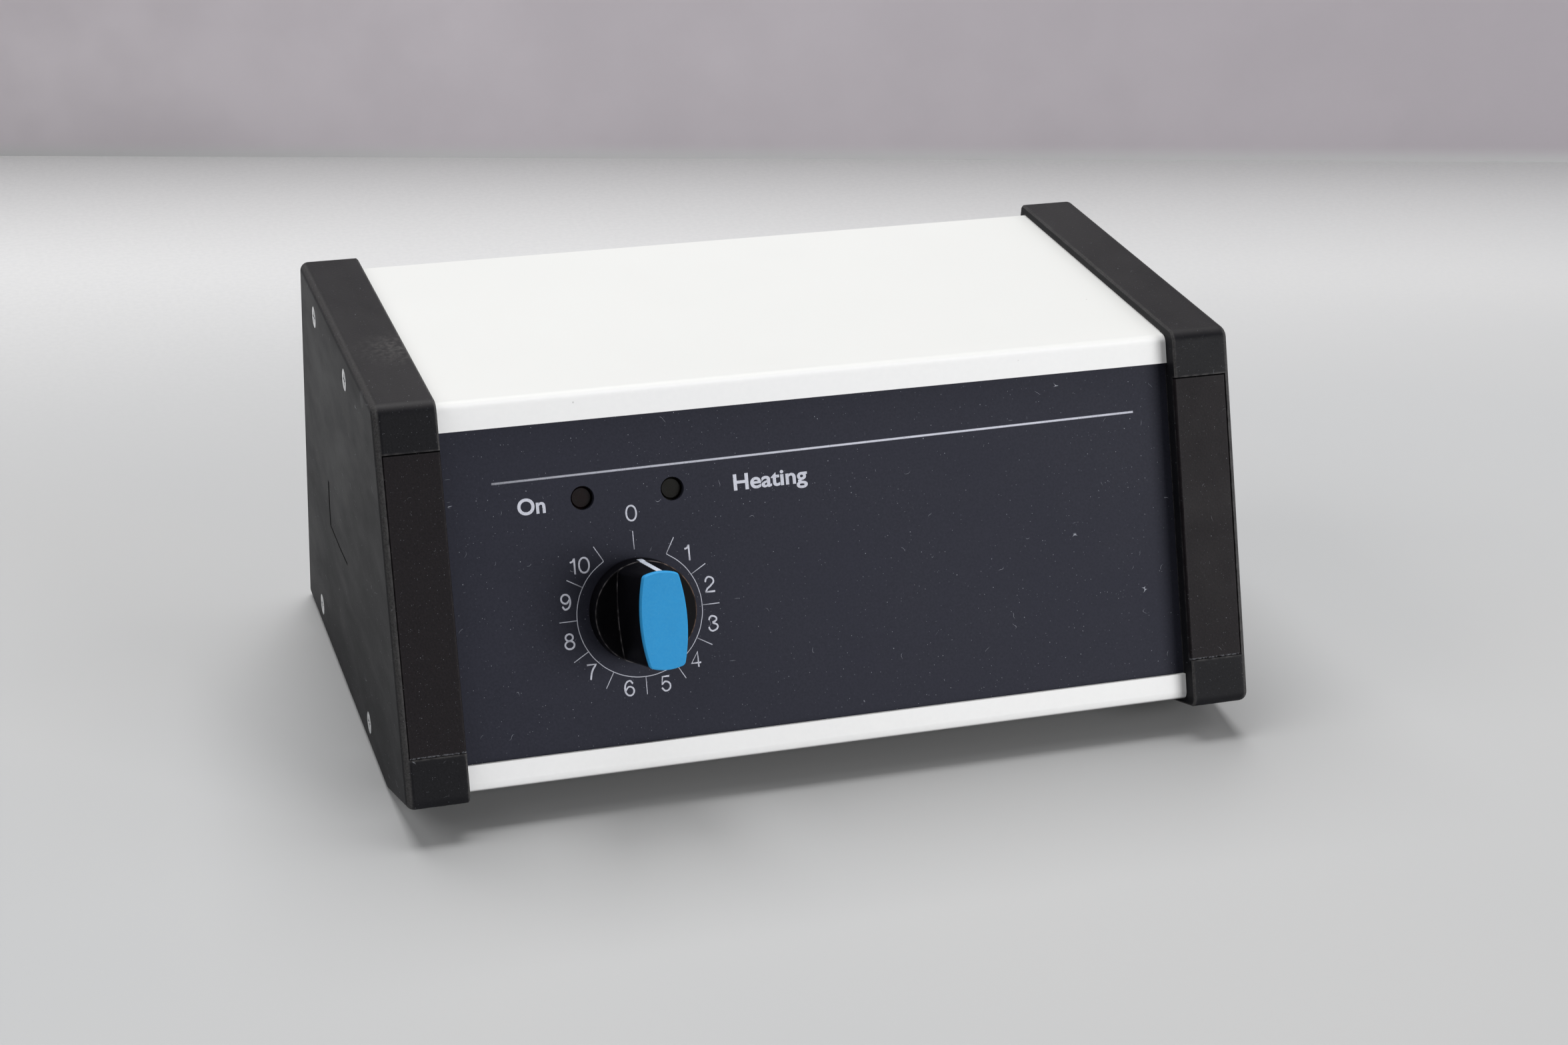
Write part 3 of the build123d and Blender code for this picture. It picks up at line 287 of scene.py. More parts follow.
def build_rubbed_edges():
    """Finds the outer edges of a piece, where handling rubs it, and breaks the line up."""
    amounts = ("Width", "Amount")
    group, given, result = make_group("Rubbed edges", amounts, ["Mask"])
    rounded = put(group, "ShaderNodeBevel", {"Radius": given["Width"]}, samples=6).outputs[0]
    surface = put(group, "ShaderNodeNewGeometry").outputs["Normal"]
    feeds = {0: rounded, 1: surface}
    same = put(group, "ShaderNodeVectorMath", feeds, operation="DOT_PRODUCT").outputs["Value"]
    turned = fade(group, calc(group, "SUBTRACT", 1.0, same), 0.01, 0.16)
    broken = fade(group, noise(group, given["Place"], 420.0, detail=4.0), 0.38, 0.62)
    worn = calc(group, "MULTIPLY", turned, calc(group, "MULTIPLY_ADD", broken, 0.8, 0.2))
    group.links.new(calc(group, "MULTIPLY", worn, given["Amount"], clamp=True), result["Mask"])
    return group


def build_hairlines():
    """Fine straight hairlines in two directions."""
    amounts = ("Lines per metre", "Amount")
    group, given, result = make_group("Hairlines", amounts, ["Mask", "Height"])
    lines = given["Lines per metre"]
    along = noise(group, stretched(group, given["Place"], (0.02, 1.0, 1.0)), lines, detail=2.0)
    crossed = stretched(group, given["Place"], (1.0, 0.05, 0.6))
    across = noise(group, crossed, weaken(group, lines, 0.6), detail=1.0)
    long_marks = fade(group, along, 0.58, 0.72)
    cross_marks = weaken(group, fade(group, across, 0.64, 0.74), 0.6)
    marks = both_masks(group, long_marks, cross_marks)
    group.links.new(calc(group, "MULTIPLY", marks, given["Amount"]), result["Mask"])
    group.links.new(along, result["Height"])
    return group


DUST = build_dust_specks()
LINT = build_lint_fibres()
GRAIN = build_moulded_grain()
SMUDGE = build_smudges()
RUBBED = build_rubbed_edges()
HAIRLINES = build_hairlines()


class Finish:
    """One material under way: its tree, its shader and its object coordinates."""

    def __init__(self, name, **constants):
        self.material = bpy.data.materials.new(name)
        self.material.use_nodes = True
        self.tree = self.material.node_tree
        self.tree.nodes.clear()
        leave = self.tree.nodes.new("ShaderNodeOutputMaterial")
        self.shader = self.tree.nodes.new("ShaderNodeBsdfPrincipled")
        self.tree.links.new(self.shader.outputs[0], leave.inputs[0])
        for label, value in constants.items():
            self.shader.inputs[label.replace("_", " ")].default_value = value
        self.place = put(self.tree, "ShaderNodeTexCoord").outputs["Object"]

    def drive(self, label, output):
        """Lets an output drive one of the shader's inputs."""
        self.tree.links.new(output, self.shader.inputs[label])

    def rough(self, mask, low, high):
        """Roughness that runs from low to high with the mask."""
        self.drive("Roughness", fade(self.tree, mask, 0.0, 1.0, low, high))

    def relief(self, height, depth, strength):
        """Surface relief; depth is in metres."""
        feeds = {"Height": height, "Distance": depth, "Strength": strength}
        self.drive("Normal", put(self.tree, "ShaderNodeBump", feeds).outputs[0])

    def dust(self, cells, size, amount, patchiness=0.6):
        """Mask of loose specks; cells are counted per metre and size is a share of a cell."""
        feeds = {
            "Place": self.place,
            "Cells per metre": cells,
            "Speck size": size,
            "Amount": amount,
            "Patchiness": patchiness,
        }
        return fill(self.tree, DUST, feeds)["Mask"]

    def lint(self, curl):
        """Mask of a few short fibres; the larger curl, the shorter they are."""
        feeds = {"Place": self.place, "Curl per metre": curl, "Thickness": 0.006, "Amount": 0.05}
        return fill(self.tree, LINT, feeds)["Mask"]

    def grain(self, grains, waviness):
        """Height and tone of a mould's grain, counted per metre."""
        feeds = {"Place": self.place, "Grains per metre": grains, "Waviness": waviness}
        return fill(self.tree, GRAIN, feeds)

    def smudge(self, patches, contrast):
        """Mask of handling marks, counted per metre."""
        feeds = {"Place": self.place, "Patches per metre": patches, "Contrast": contrast}
        return fill(self.tree, SMUDGE, feeds)["Mask"]

    def rubbed(self, width, amount):
        """Mask of the outer edges; width is in metres."""
        return fill(self.tree, RUBBED, {"Place": self.place, "Width": width, "Amount": amount})["Mask"]

    def hairlines(self, lines):
        """Mask and height of the lines that a tool leaves, counted per metre."""
        return fill(self.tree, HAIRLINES, {"Place": self.place, "Lines per metre": lines, "Amount": 0.4})


# ------------------------------------------------------------------ finishes of the controller
def along_panel(tree, place, way):
    """How far a point lies from the dial's foot along one of the panel's axes, in metres."""
    feeds = {0: place, 1: DIAL_AXIS * MM}
    away = put(tree, "ShaderNodeVectorMath", feeds, operation="SUBTRACT").outputs[0]
    return put(tree, "ShaderNodeVectorMath", {0: away, 1: way}, operation="DOT_PRODUCT").outputs["Value"]


def away_from(tree, place, spot):
    """Distance in metres from a spot of the frame."""
    return put(tree, "ShaderNodeVectorMath", {0: place, 1: spot}, operation="DISTANCE").outputs["Value"]


def mark_cheek(tree, place, tone, body):
    """Adds a cheek's patch of dust, its round pin mark and a painted highlight on its rounded edges."""
    near_spot = fade(tree, away_from(tree, place, DUSTY_SPOT), 0.001, DUSTY_REACH, 1.0, 0.0)
    haze = calc(tree, "MULTIPLY", near_spot, fade(tree, noise(tree, place, 700.0), 0.35, 0.75))
    body = tint(tree, weaken(tree, haze, 0.35), body, srgb(108, 106, 104))
    pin_rim = PIN_MARK_RADIUS - 0.0003
    pin = fade(tree, away_from(tree, place, PIN_MARK), pin_rim, PIN_MARK_RADIUS, 1.0, 0.0)
    body = tint(tree, weaken(tree, pin, 0.3), body, srgb(84, 85, 88))
    # painted highlight: the rounded edges that turn from the front to the side are made paler
    sideways = calc(tree, "ABSOLUTE", normal_parts(tree)["X"])
    past_front = fade(tree, sideways, 0.15, 0.5)
    before_side = fade(tree, sideways, 0.8, 0.98, 1.0, 0.0)
    painted_edge_highlight = calc(tree, "MULTIPLY", past_front, before_side)
    uneven = fade(tree, tone, 0.2, 0.8, 0.4, 0.9)
    return tint(tree, calc(tree, "MULTIPLY", painted_edge_highlight, uneven), body, srgb(78, 77, 77))


def dust_on_moulding(finish, amount):
    """Specks of three sizes and short fibres that lie on a black moulding."""
    tree = finish.tree
    large = finish.dust(cells=420.0, size=0.035, amount=amount)
    middling = finish.dust(cells=1000.0, size=0.08, amount=amount)
    small = finish.dust(cells=2300.0, size=0.16, amount=amount * 1.4)
    specks = weaken(tree, both_masks(tree, large, middling), 0.8)
    specks = both_masks(tree, specks, weaken(tree, small, 0.4))
    return both_masks(tree, specks, weaken(tree, finish.lint(curl=420.0), 0.6))


def moulded_black(name, deep, pale, dust_amount, rub, is_trim):
    """Grained black plastic with a film of dust, specks, short fibres and rubbed edges, and painted light
    on faces that look up; a cheek also gets a painted highlight on its rounded edges, a trim a painted
    shadow at its upper end.
    """
    finish = Finish(name, IOR=1.46, Specular_IOR_Level=0.115)
    tree = finish.tree
    plain_place = finish.place
    grain = finish.grain(grains=1900.0, waviness=0.35)
    finish.place = stretched(tree, plain_place, (1.0, 0.4, 1.0))
    film = finish.smudge(patches=22.0, contrast=0.5)
    body = tint(tree, fade(tree, grain["Tone"], 0.3, 0.7), deep, pale)
    body = tint(tree, weaken(tree, film, 0.16), body, srgb(64, 64, 66))
    # faces that look up are made lighter: settled dust, and painted light from above
    level_face = fade(tree, normal_parts(tree)["Z"], 0.55, 0.95)
    settled_dust_and_top_light = calc(tree, "MULTIPLY", level_face, calc(tree, "MULTIPLY_ADD", film, 0.35, 0.3))
    body = tint(tree, settled_dust_and_top_light, body, srgb(62, 60, 61))
    if not is_trim:
        body = mark_cheek(tree, plain_place, grain["Tone"], body)
    body = tint(tree, finish.rubbed(width=0.0012, amount=rub), body, srgb(98, 96, 96))
    cover = dust_on_moulding(finish, dust_amount)
    if is_trim:
        # dust lodges at the strip's lower end, and a painted shadow of the cap darkens its upper end
        along = along_panel(tree, plain_place, PANEL_UP)
        low_end = fade(tree, along, TRIM_LOW_END + 0.0002, TRIM_LOW_END + 0.0007, 1.0, 0.0)
        lodged = calc(tree, "MULTIPLY", low_end, fade(tree, grain["Tone"], 0.4, 0.6))
        cover = both_masks(tree, cover, weaken(tree, lodged, 0.35))
        painted_cap_shadow = fade(tree, along, TRIM_HIGH_END - 0.0006, TRIM_HIGH_END - 0.0003)
        body = tint(tree, painted_cap_shadow, body, srgb(3, 3, 4))
    body = tint(tree, cover, body, srgb(186, 190, 198))
    finish.drive("Base Color", body)
    finish.rough(film, 0.42, 0.6)
    finish.relief(grain["Height"], 0.00006, 0.5)
    return finish.material


def white_enamel():
    """White stove enamel on sheet steel: faint orange peel, painted shade on faces that look up, and a
    dark grey underside that is painted shade.
    """
    finish = Finish("white_enamel", IOR=1.5, Specular_IOR_Level=0.26)
    tree = finish.tree
    cloud = finish.smudge(patches=9.0, contrast=0.6)
    peel = noise(tree, finish.place, 650.0, detail=2.0)
    facing = normal_parts(tree)["Z"]
    body = tint(tree, cloud, srgb(249, 249, 250), srgb(251, 251, 250))
    # painted shade: faces that look up are made a little darker than the lips
    body = tint(tree, fade(tree, facing, 0.6, 0.98), body, srgb(225, 225, 223))
    # painted shade: faces that look down are made dark grey, which also throws less light onto the bench
    body = tint(tree, fade(tree, facing, -0.3, -0.8), body, srgb(60, 60, 62))
    body = tint(tree, fade(tree, peel, 0.2, 0.8, 0.0, 0.08), body, srgb(224, 226, 229))
    specks = finish.dust(cells=120.0, size=0.035, amount=0.12, patchiness=0.3)
    body = tint(tree, weaken(tree, specks, 0.5), body, srgb(120, 118, 115))
    body = tint(tree, finish.rubbed(width=0.0004, amount=0.25), body, srgb(214, 215, 217))
    finish.drive("Base Color", body)
    finish.rough(cloud, 0.44, 0.52)
    finish.relief(peel, 0.00003, 0.35)
    return finish.material


def panel_lacquer():
    """Dark blue-grey satin lacquer, dusty, with short fibres lying on it."""
    finish = Finish("panel_lacquer", IOR=1.45, Specular_IOR_Level=0.09)
    tree = finish.tree
    grain = finish.grain(grains=1500.0, waviness=0.5)
    cloud = finish.smudge(patches=14.0, contrast=0.7)
    body = tint(tree, cloud, srgb(43, 44, 54), srgb(48, 49, 59))
    body = tint(tree, fade(tree, grain["Tone"], 0.25, 0.75, 0.0, 0.6), body, srgb(52, 53, 64))
    large = finish.dust(cells=300.0, size=0.035, amount=0.3, patchiness=0.5)
    middling = finish.dust(cells=700.0, size=0.07, amount=0.3, patchiness=0.5)
    small = finish.dust(cells=1500.0, size=0.11, amount=0.3, patchiness=0.5)
    specks = both_masks(tree, both_masks(tree, large, middling), weaken(tree, small, 0.9))
    fibres = finish.lint(curl=400.0)
    cover = both_masks(tree, weaken(tree, specks, 0.9), weaken(tree, fibres, 0.7))
    finish.drive("Base Color", tint(tree, cover, body, srgb(206, 210, 222)))
    finish.rough(cloud, 0.48, 0.58)
    finish.relief(grain["Height"], 0.00004, 0.4)
    return finish.material


def grey_lacquer():
    """Dark grey satin lacquer of the rear panel."""
    finish = Finish("grey_lacquer", IOR=1.45, Specular_IOR_Level=0.4)
    tree = finish.tree
    grain = finish.grain(grains=1700.0, waviness=0.3)
    cloud = finish.smudge(patches=18.0, contrast=0.8)
    body = tint(tree, cloud, srgb(58, 59, 64), srgb(66, 67, 72))
    body = tint(tree, fade(tree, grain["Tone"], 0.3, 0.7, 0.0, 0.5), body, srgb(74, 75, 80))
    specks = finish.dust(cells=620.0, size=0.1, amount=0.15)
    body = tint(tree, weaken(tree, specks, 0.45), body, srgb(165, 165, 168))
    body = tint(tree, finish.rubbed(width=0.0004, amount=0.4), body, srgb(120, 120, 122))
    finish.drive("Base Color", body)
    finish.rough(cloud, 0.45, 0.58)
    finish.relief(grain["Height"], 0.00005, 0.45)
    return finish.material


def bare_metal(name, dark, light, roughness, lines):
    """Turned, drawn or plated metal with hairlines and a little tarnish."""
    finish = Finish(name, Metallic=1.0)
    tree = finish.tree
    lined = finish.hairlines(lines)
    film = finish.smudge(patches=150.0, contrast=1.0)
    body = tint(tree, film, light, dark)
    body = tint(tree, weaken(tree, lined["Mask"], 0.7), body, dark)
    stains = finish.dust(cells=1500.0, size=0.16, amount=0.14)
    body = tint(tree, weaken(tree, stains, 0.2), body, srgb(60, 55, 50))
    finish.drive("Base Color", body)
    finish.rough(film, *roughness)
    finish.relief(lined["Height"], 0.00001, 0.4)
    return finish.material


def knob_phenolic():
    """Glossy black knob moulding, faintly dusty, its skirt's edge and the grip's foot rubbed brownish."""
    finish = Finish("knob_phenolic", IOR=1.45, Specular_IOR_Level=0.07)
    tree = finish.tree
    film = finish.smudge(patches=70.0, contrast=0.9)
    height = along_panel(tree, finish.place, PANEL_OUT)
    from_ledge = calc(tree, "ABSOLUTE", calc(tree, "SUBTRACT", height, SKIRT_TOP))
    near_ledge = calc(tree, "LESS_THAN", from_ledge, 0.0008)
    side = parts_of(tree, finish.place)["X"]
    to_the_right = fade(tree, side, GRIP_MIDDLE_X, GRIP_RIGHT_X)
    worn_shade = tint(tree, to_the_right, srgb(128, 124, 126), srgb(132, 108, 94))
    worn = calc(tree, "MULTIPLY", finish.rubbed(width=0.0007, amount=1.0), near_ledge)
    body = tint(tree, film, srgb(6, 6, 9), srgb(11, 10, 14))
    body = tint(tree, worn, body, worn_shade)
    large = finish.dust(cells=620.0, size=0.07, amount=0.12)
    small = finish.dust(cells=1700.0, size=0.12, amount=0.10)
    body = tint(tree, weaken(tree, both_masks(tree, large, small), 0.4), body, srgb(140, 138, 140))
    finish.drive("Base Color", body)
    finish.rough(film, 0.36, 0.48)
    finish.relief(noise(tree, finish.place, 900.0, detail=3.0), 0.00001, 0.3)
    return finish.material


def cap_blue():
    """Satin sky-blue cap with fine mottling."""
    finish = Finish("cap_blue", IOR=1.45, Specular_IOR_Level=0.1)
    tree = finish.tree
    grain = finish.grain(grains=1600.0, waviness=0.4)
    cloud = finish.smudge(patches=90.0, contrast=0.7)
    body = tint(tree, cloud, srgb(46, 146, 207), srgb(51, 153, 214))
    body = tint(tree, fade(tree, grain["Tone"], 0.3, 0.7, 0.0, 0.35), body, srgb(66, 158, 212))
    edges = finish.rubbed(width=0.0003, amount=0.5)
    body = tint(tree, weaken(tree, edges, 0.6), body, srgb(92, 170, 214))
    specks = finish.dust(cells=1500.0, size=0.12, amount=0.08)
    body = tint(tree, weaken(tree, specks, 0.3), body, srgb(170, 200, 220))
    finish.drive("Base Color", body)
    finish.rough(cloud, 0.42, 0.52)
    finish.relief(grain["Height"], 0.00003, 0.4)
    return finish.material


def pointer_white():
    """White paint run into the knob's pointer groove, a little worn."""
    finish = Finish("pointer_white", IOR=1.45, Specular_IOR_Level=0.3)
    tree = finish.tree
    wear = fade(tree, noise(tree, finish.place, 900.0, detail=4.0), 0.3, 0.62)
    finish.drive("Base Color", tint(tree, wear, srgb(190, 197, 212), srgb(214, 220, 232)))
    finish.rough(wear, 0.55, 0.4)
    finish.relief(wear, 0.00003, 0.5)
    return finish.material


def legend_ink(name, shade):
    """Pale screen-print ink, slightly broken up."""
    finish = Finish(name, IOR=1.45, Specular_IOR_Level=0.3)
    tree = finish.tree
    patch = noise(tree, finish.place, 2600.0, detail=3.0)
    slow = noise(tree, finish.place, 90.0, detail=2.0)
    darker = srgb(*(channel - 8 for channel in shade))
    body = tint(tree, fade(tree, slow, 0.3, 0.7), darker, srgb(*shade))
    body = tint(tree, fade(tree, patch, 0.56, 0.74, 0.0, 0.5), body, srgb(104, 105, 116))
    finish.drive("Base Color", body)
    finish.rough(patch, 0.5, 0.62)
    finish.relief(patch, 0.00002, 0.4)
    return finish.material


def lens_resin(name, deep, glow):
    """Dark coloured resin of a pilot lamp that is off."""
    finish = Finish(name, IOR=1.5, Specular_IOR_Level=0.12)
    tree = finish.tree
    depth = fade(tree, noise(tree, finish.place, 320.0, detail=2.0), 0.25, 0.75)
    body = tint(tree, depth, deep, glow)
    specks = finish.dust(cells=2400.0, size=0.2, amount=0.2)
    body = tint(tree, weaken(tree, specks, 0.25), body, srgb(120, 110, 104))
    finish.drive("Base Color", body)
    finish.rough(depth, 0.4, 0.5)
    finish.relief(noise(tree, finish.place, 2400.0, detail=2.0), 0.00002, 0.35)
    return finish.material


def plain_moulding(name, deep, pale, roughness=(0.35, 0.5), grains=1700.0, dirt=0.2):
    """Moulded insulating plastic with grain, small specks and rubbed edges."""
    finish = Finish(name, IOR=1.46, Specular_IOR_Level=0.4)
    tree = finish.tree
    grain = finish.grain(grains, waviness=0.3)
    film = finish.smudge(patches=60.0, contrast=0.9)
    handled = colour_between(0.5, deep, srgb(90, 88, 86))
    polished = colour_between(0.4, pale, srgb(190, 188, 184))
    body = tint(tree, fade(tree, grain["Tone"], 0.3, 0.7), deep, pale)
    body = tint(tree, weaken(tree, film, 0.25), body, handled)
    body = tint(tree, finish.rubbed(width=0.0003, amount=0.35), body, polished)
    specks = finish.dust(cells=1200.0, size=0.14, amount=0.12)
    body = tint(tree, weaken(tree, specks, dirt), body, srgb(160, 158, 154))
    finish.drive("Base Color", body)
    finish.rough(film, *roughness)
    finish.relief(grain["Height"], 0.00003, 0.4)
    return finish.material


def threads(tree, place, direction):
    """One set of a glass cloth's threads."""
    feeds = {"Vector": place, "Scale": 400.0, "Distortion": 1.0}
    return put(tree, "ShaderNodeTexWave", feeds, bands_direction=direction).outputs["Fac"]


def board_laminate():
    """Green-brown glass-fibre laminate with the weave showing through."""
    finish = Finish("board_laminate", IOR=1.5, Specular_IOR_Level=0.5)
    tree = finish.tree
    weave = calc(tree, "MULTIPLY", threads(tree, finish.place, "X"), threads(tree, finish.place, "Z"))
    body = tint(tree, weave, srgb(36, 74, 44), srgb(62, 104, 62))
    stains = finish.smudge(patches=80.0, contrast=0.9)
    body = tint(tree, weaken(tree, stains, 0.3), body, srgb(90, 96, 56))
    finish.drive("Base Color", body)
    finish.rough(weave, 0.3, 0.45)
    finish.relief(weave, 0.00003, 0.4)
    return finish.material


FINISHES = {
    "cheek": moulded_black(
        "cheek_black", srgb(13, 13, 17), srgb(20, 20, 24), dust_amount=0.2, rub=0.55, is_trim=False
    ),
    "trim": moulded_black(
        "trim_black", srgb(19, 15, 18), srgb(27, 22, 25), dust_amount=0.26, rub=0.2, is_trim=True
    ),
    "white_cover": white_enamel(),
    "front_panel": panel_lacquer(),
    "rear_panel": grey_lacquer(),
    "bar": bare_metal("bar_aluminium", srgb(150, 152, 155), srgb(192, 194, 197), (0.3, 0.5), 500.0),
    "zinc": bare_metal("zinc_plate", srgb(206, 208, 210), srgb(250, 250, 250), (0.45, 0.6), 1500.0),
    "knob": knob_phenolic(),
    "knob_cap": cap_blue(),
    "pointer": pointer_white(),
    "steel": bare_metal("turned_steel", srgb(120, 120, 122), srgb(176, 176, 178), (0.25, 0.4), 1300.0),
    "regulator": plain_moulding("regulator_phenolic", srgb(40, 29, 23), srgb(54, 40, 31)),
    "brass": bare_metal("brass", srgb(150, 112, 60), srgb(206, 166, 92), (0.25, 0.42), 1300.0),
    "board": board_laminate(),
    "led": plain_moulding("led_resin", srgb(120, 20, 16), srgb(150, 30, 22), (0.15, 0.25), 900.0, 0.1),
    "lens": lens_resin("lens_red", srgb(8, 4, 5), srgb(22, 8, 9)),
    "black_insulator": plain_moulding("insulator_black", srgb(22, 22, 24), srgb(30, 30, 32)),
    "pin": bare_metal("nickel_plate", srgb(150, 146, 134), srgb(204, 200, 186), (0.2, 0.36), 1400.0),
    "terminal": plain_moulding("terminal_melamine", srgb(196, 192, 178), srgb(210, 206, 194)),
}
lens_amber = lens_resin("lens_amber", srgb(7, 7, 5), srgb(19, 17, 10))

for row in frame["record"]["subparts"]:
    node_object = frame["nodes"][row["node"]]
    node_object.data.materials.clear()
    node_object.data.materials.append(FINISHES[row["material_slot"]])
frame["nodes"]["lens_right"].data.materials[0] = lens_amber

# ------------------------------------------------------------------ printed legend on the front panel
# millimetres from the ring's centre, and clock angles in degrees from the top
INK_HEIGHT = 0.03
WELD = 0.0005
THIN_STROKE = 0.24
FIGURE_STROKE = 0.5
HEAD_LINE_STROKE = 0.6
RING_RADIUS = 17.0
RING_KNOT_STEP = 15
TICK_END = 21.8
TICK_STEP = 30
TOP_TICK_OVERLAP = 0.1
SCALE_START = 30
SCALE_END = 330
FIGURE_HEIGHT = 3.95
FIGURE_RADIUS = 20.25
FIGURE_ZERO_AT = (0.03, 26.5)
FIGURE_TEN_SHIFTS = {"1": -2.45, "0": 0.5}
FIGURE_SHIFTS = {4: (-0.3, 0.1), 6: (0.5, 0.0), 7: (0.0, 0.4)}
HEAD_LINE_UP = 38.17
HEAD_LINE_KNOTS = (-36.2, 50.0, 144.0)
CAPITAL_HEIGHT = 4.2
LETTER_BOLDNESS = 0.022
LETTER_THICKNESS = 0.01

# strokes of each figure on a unit-high box: (width along, height up, rounded?)
FIGURE_STROKES = {
    "0": [("loop", [(0, 1, 1), (-0.34, 0.5, 1), (0, 0, 1), (0.34, 0.5, 1)])],
    "1": [
        ("line", [(-0.2, 0.77, 0), (-0.02, 0.83, 1), (0.1, 1.0, 0)]),
        ("line", [(0.1, 1.03, 0), (0.1, -0.03, 0)]),
    ],
    "2": [
        ("line", [(-0.3, 0.68, 0), (-0.2, 0.93, 1), (0.01, 1.0, 1), (0.28, 0.73, 1),
                  (0.05, 0.4, 1), (-0.2, 0.2, 1), (-0.31, 0, 0)]),
        ("line", [(-0.34, 0, 0), (0.34, 0, 0)]),
    ],
    "3": [
        ("line", [(-0.28, 0.75, 0), (-0.17, 0.95, 1), (0.0, 1.0, 1), (0.26, 0.77, 1), (-0.04, 0.55, 0)]),
        ("line", [(-0.04, 0.55, 0), (0.31, 0.28, 1), (0, 0, 1), (-0.22, 0.07, 1), (-0.31, 0.29, 0)]),
    ],
    "4": [("line", [(0.15, -0.03, 0), (0.15, 1, 0), (-0.33, 0.25, 0), (0.34, 0.25, 0)])],
    "5": [
        ("line", [(0.27, 0.98, 0), (-0.2, 0.98, 0), (-0.27, 0.46, 0), (0.01, 0.64, 1),
                  (0.3, 0.32, 1), (0, 0, 1), (-0.31, 0.24, 0)]),
    ],
    "6": [
        ("line", [(0.27, 0.78, 0), (0.04, 1.0, 1), (-0.3, 0.46, 1), (0.01, 0, 1),
                  (0.31, 0.31, 1), (0.02, 0.6, 1), (-0.29, 0.33, 0)]),
    ],
    "7": [("line", [(-0.31, 0.98, 0), (0.31, 0.98, 0), (0.02, 0.55, 1), (-0.13, -0.03, 0)])],
    "8": [
        ("loop", [(0, 1, 1), (-0.25, 0.77, 1), (0, 0.54, 1), (0.25, 0.77, 1)]),
        ("loop", [(0, 0.54, 1), (-0.31, 0.27, 1), (0, 0, 1), (0.31, 0.27, 1)]),
    ],
    "9": [
        ("line", [(-0.27, 0.22, 0), (-0.04, 0, 1), (0.3, 0.54, 1), (-0.01, 1, 1),
                  (-0.31, 0.69, 1), (-0.02, 0.4, 1), (0.29, 0.67, 0)]),
    ],
}


def pen_curve(stroke):
    """A round pen line of the given width; its strokes are added as splines."""
    pen = bpy.data.curves.new("pen", "CURVE")
    pen.dimensions = "3D"
    pen.bevel_depth = stroke / 2
    pen.bevel_resolution = 1
    pen.use_fill_caps = True
    pen.resolution_u = 8
    return pen


def add_stroke(pen, points, closed=False):
    """points are (x, y, rounded?) in millimetres."""
    spline = pen.splines.new("BEZIER")
    spline.bezier_points.add(len(points) - 1)
    for knot, (x, y, rounded) in zip(spline.bezier_points, points):
        knot.co = (x, y, 0)
        kind = "AUTO" if rounded else "VECTOR"
        knot.handle_left_type = kind
        knot.handle_right_type = kind
    spline.use_cyclic_u = closed


def draw_figure(pen, figure, x, y):
    """Strokes of one figure, centred on x, y."""
    for kind, knots in FIGURE_STROKES[figure]:
        placed = [
            (x + u * FIGURE_HEIGHT, y + (v - 0.5) * FIGURE_HEIGHT, rounded) for u, v, rounded in knots
        ]
        add_stroke(pen, placed, kind == "loop")


def clock(radius, degrees):
    """Point at a clock angle from the top."""
    return radius * sin(radians(degrees)), radius * cos(radians(degrees))


def figure_place(number):
    """Middle of the place for a figure, halfway between two ticks."""
    return clock(FIGURE_RADIUS, (number + 0.5) * TICK_STEP)


def corner_at(radius, degrees):
    """Sharp knot of a stroke at a clock angle."""
    return (*clock(radius, degrees), 0)


def print_piece(name, pen, material):
    """Turns the strokes of a pen into a flat print on the panel."""
    bm = mesh_from_curve(pen)
    flatten_ink(bm, INK_HEIGHT)
    bmesh.ops.remove_doubles(bm, verts=bm.verts, dist=WELD)
    keep_piece(name, bm, print_frame(), material)


ink = legend_ink("legend_ink", (212, 214, 226))
thin_ink = legend_ink("legend_ink_fine", (204, 206, 218))


def draw_dial_ring():
    """Open ring round the knob, with a tick at each end and every twelfth of a turn."""
    pen = pen_curve(THIN_STROKE)
    first = corner_at(RING_RADIUS, SCALE_START)
    last = corner_at(RING_RADIUS, SCALE_END)
    bends = range(SCALE_START + RING_KNOT_STEP, SCALE_END, RING_KNOT_STEP)
    add_stroke(pen, [first] + [(*clock(RING_RADIUS, degrees), 1) for degrees in bends] + [last])
    for degrees in (SCALE_START, SCALE_END, *range(SCALE_START + TICK_STEP, SCALE_END, TICK_STEP)):
        add_stroke(pen, [corner_at(RING_RADIUS, degrees), corner_at(TICK_END, degrees)])
    add_stroke(pen, [corner_at(RING_RADIUS - TOP_TICK_OVERLAP, 0), corner_at(TICK_END, 0)])
    print_piece("dial_ring_print", pen, thin_ink)


def draw_dial_figures():
    """Figures 0 to 10 round the ring; the 0 stands over the top tick."""
    pen = pen_curve(FIGURE_STROKE)
    draw_figure(pen, "0", *FIGURE_ZERO_AT)
    for number in range(1, 10):
        x, y = figure_place(number)
        shift_x, shift_y = FIGURE_SHIFTS.get(number, (0, 0))
        draw_figure(pen, str(number), x + shift_x, y + shift_y)
    x, y = figure_place(10)
    for figure, shift_x in FIGURE_TEN_SHIFTS.items():
        draw_figure(pen, figure, x + shift_x, y)
    print_piece("dial_figures_print", pen, ink)


def draw_head_line():
    """Long thin line across the top of the panel."""
    pen = pen_curve(HEAD_LINE_STROKE)
    add_stroke(pen, [(x, HEAD_LINE_UP, 0) for x in HEAD_LINE_KNOTS])
    print_piece("head_line_print", pen, ink)


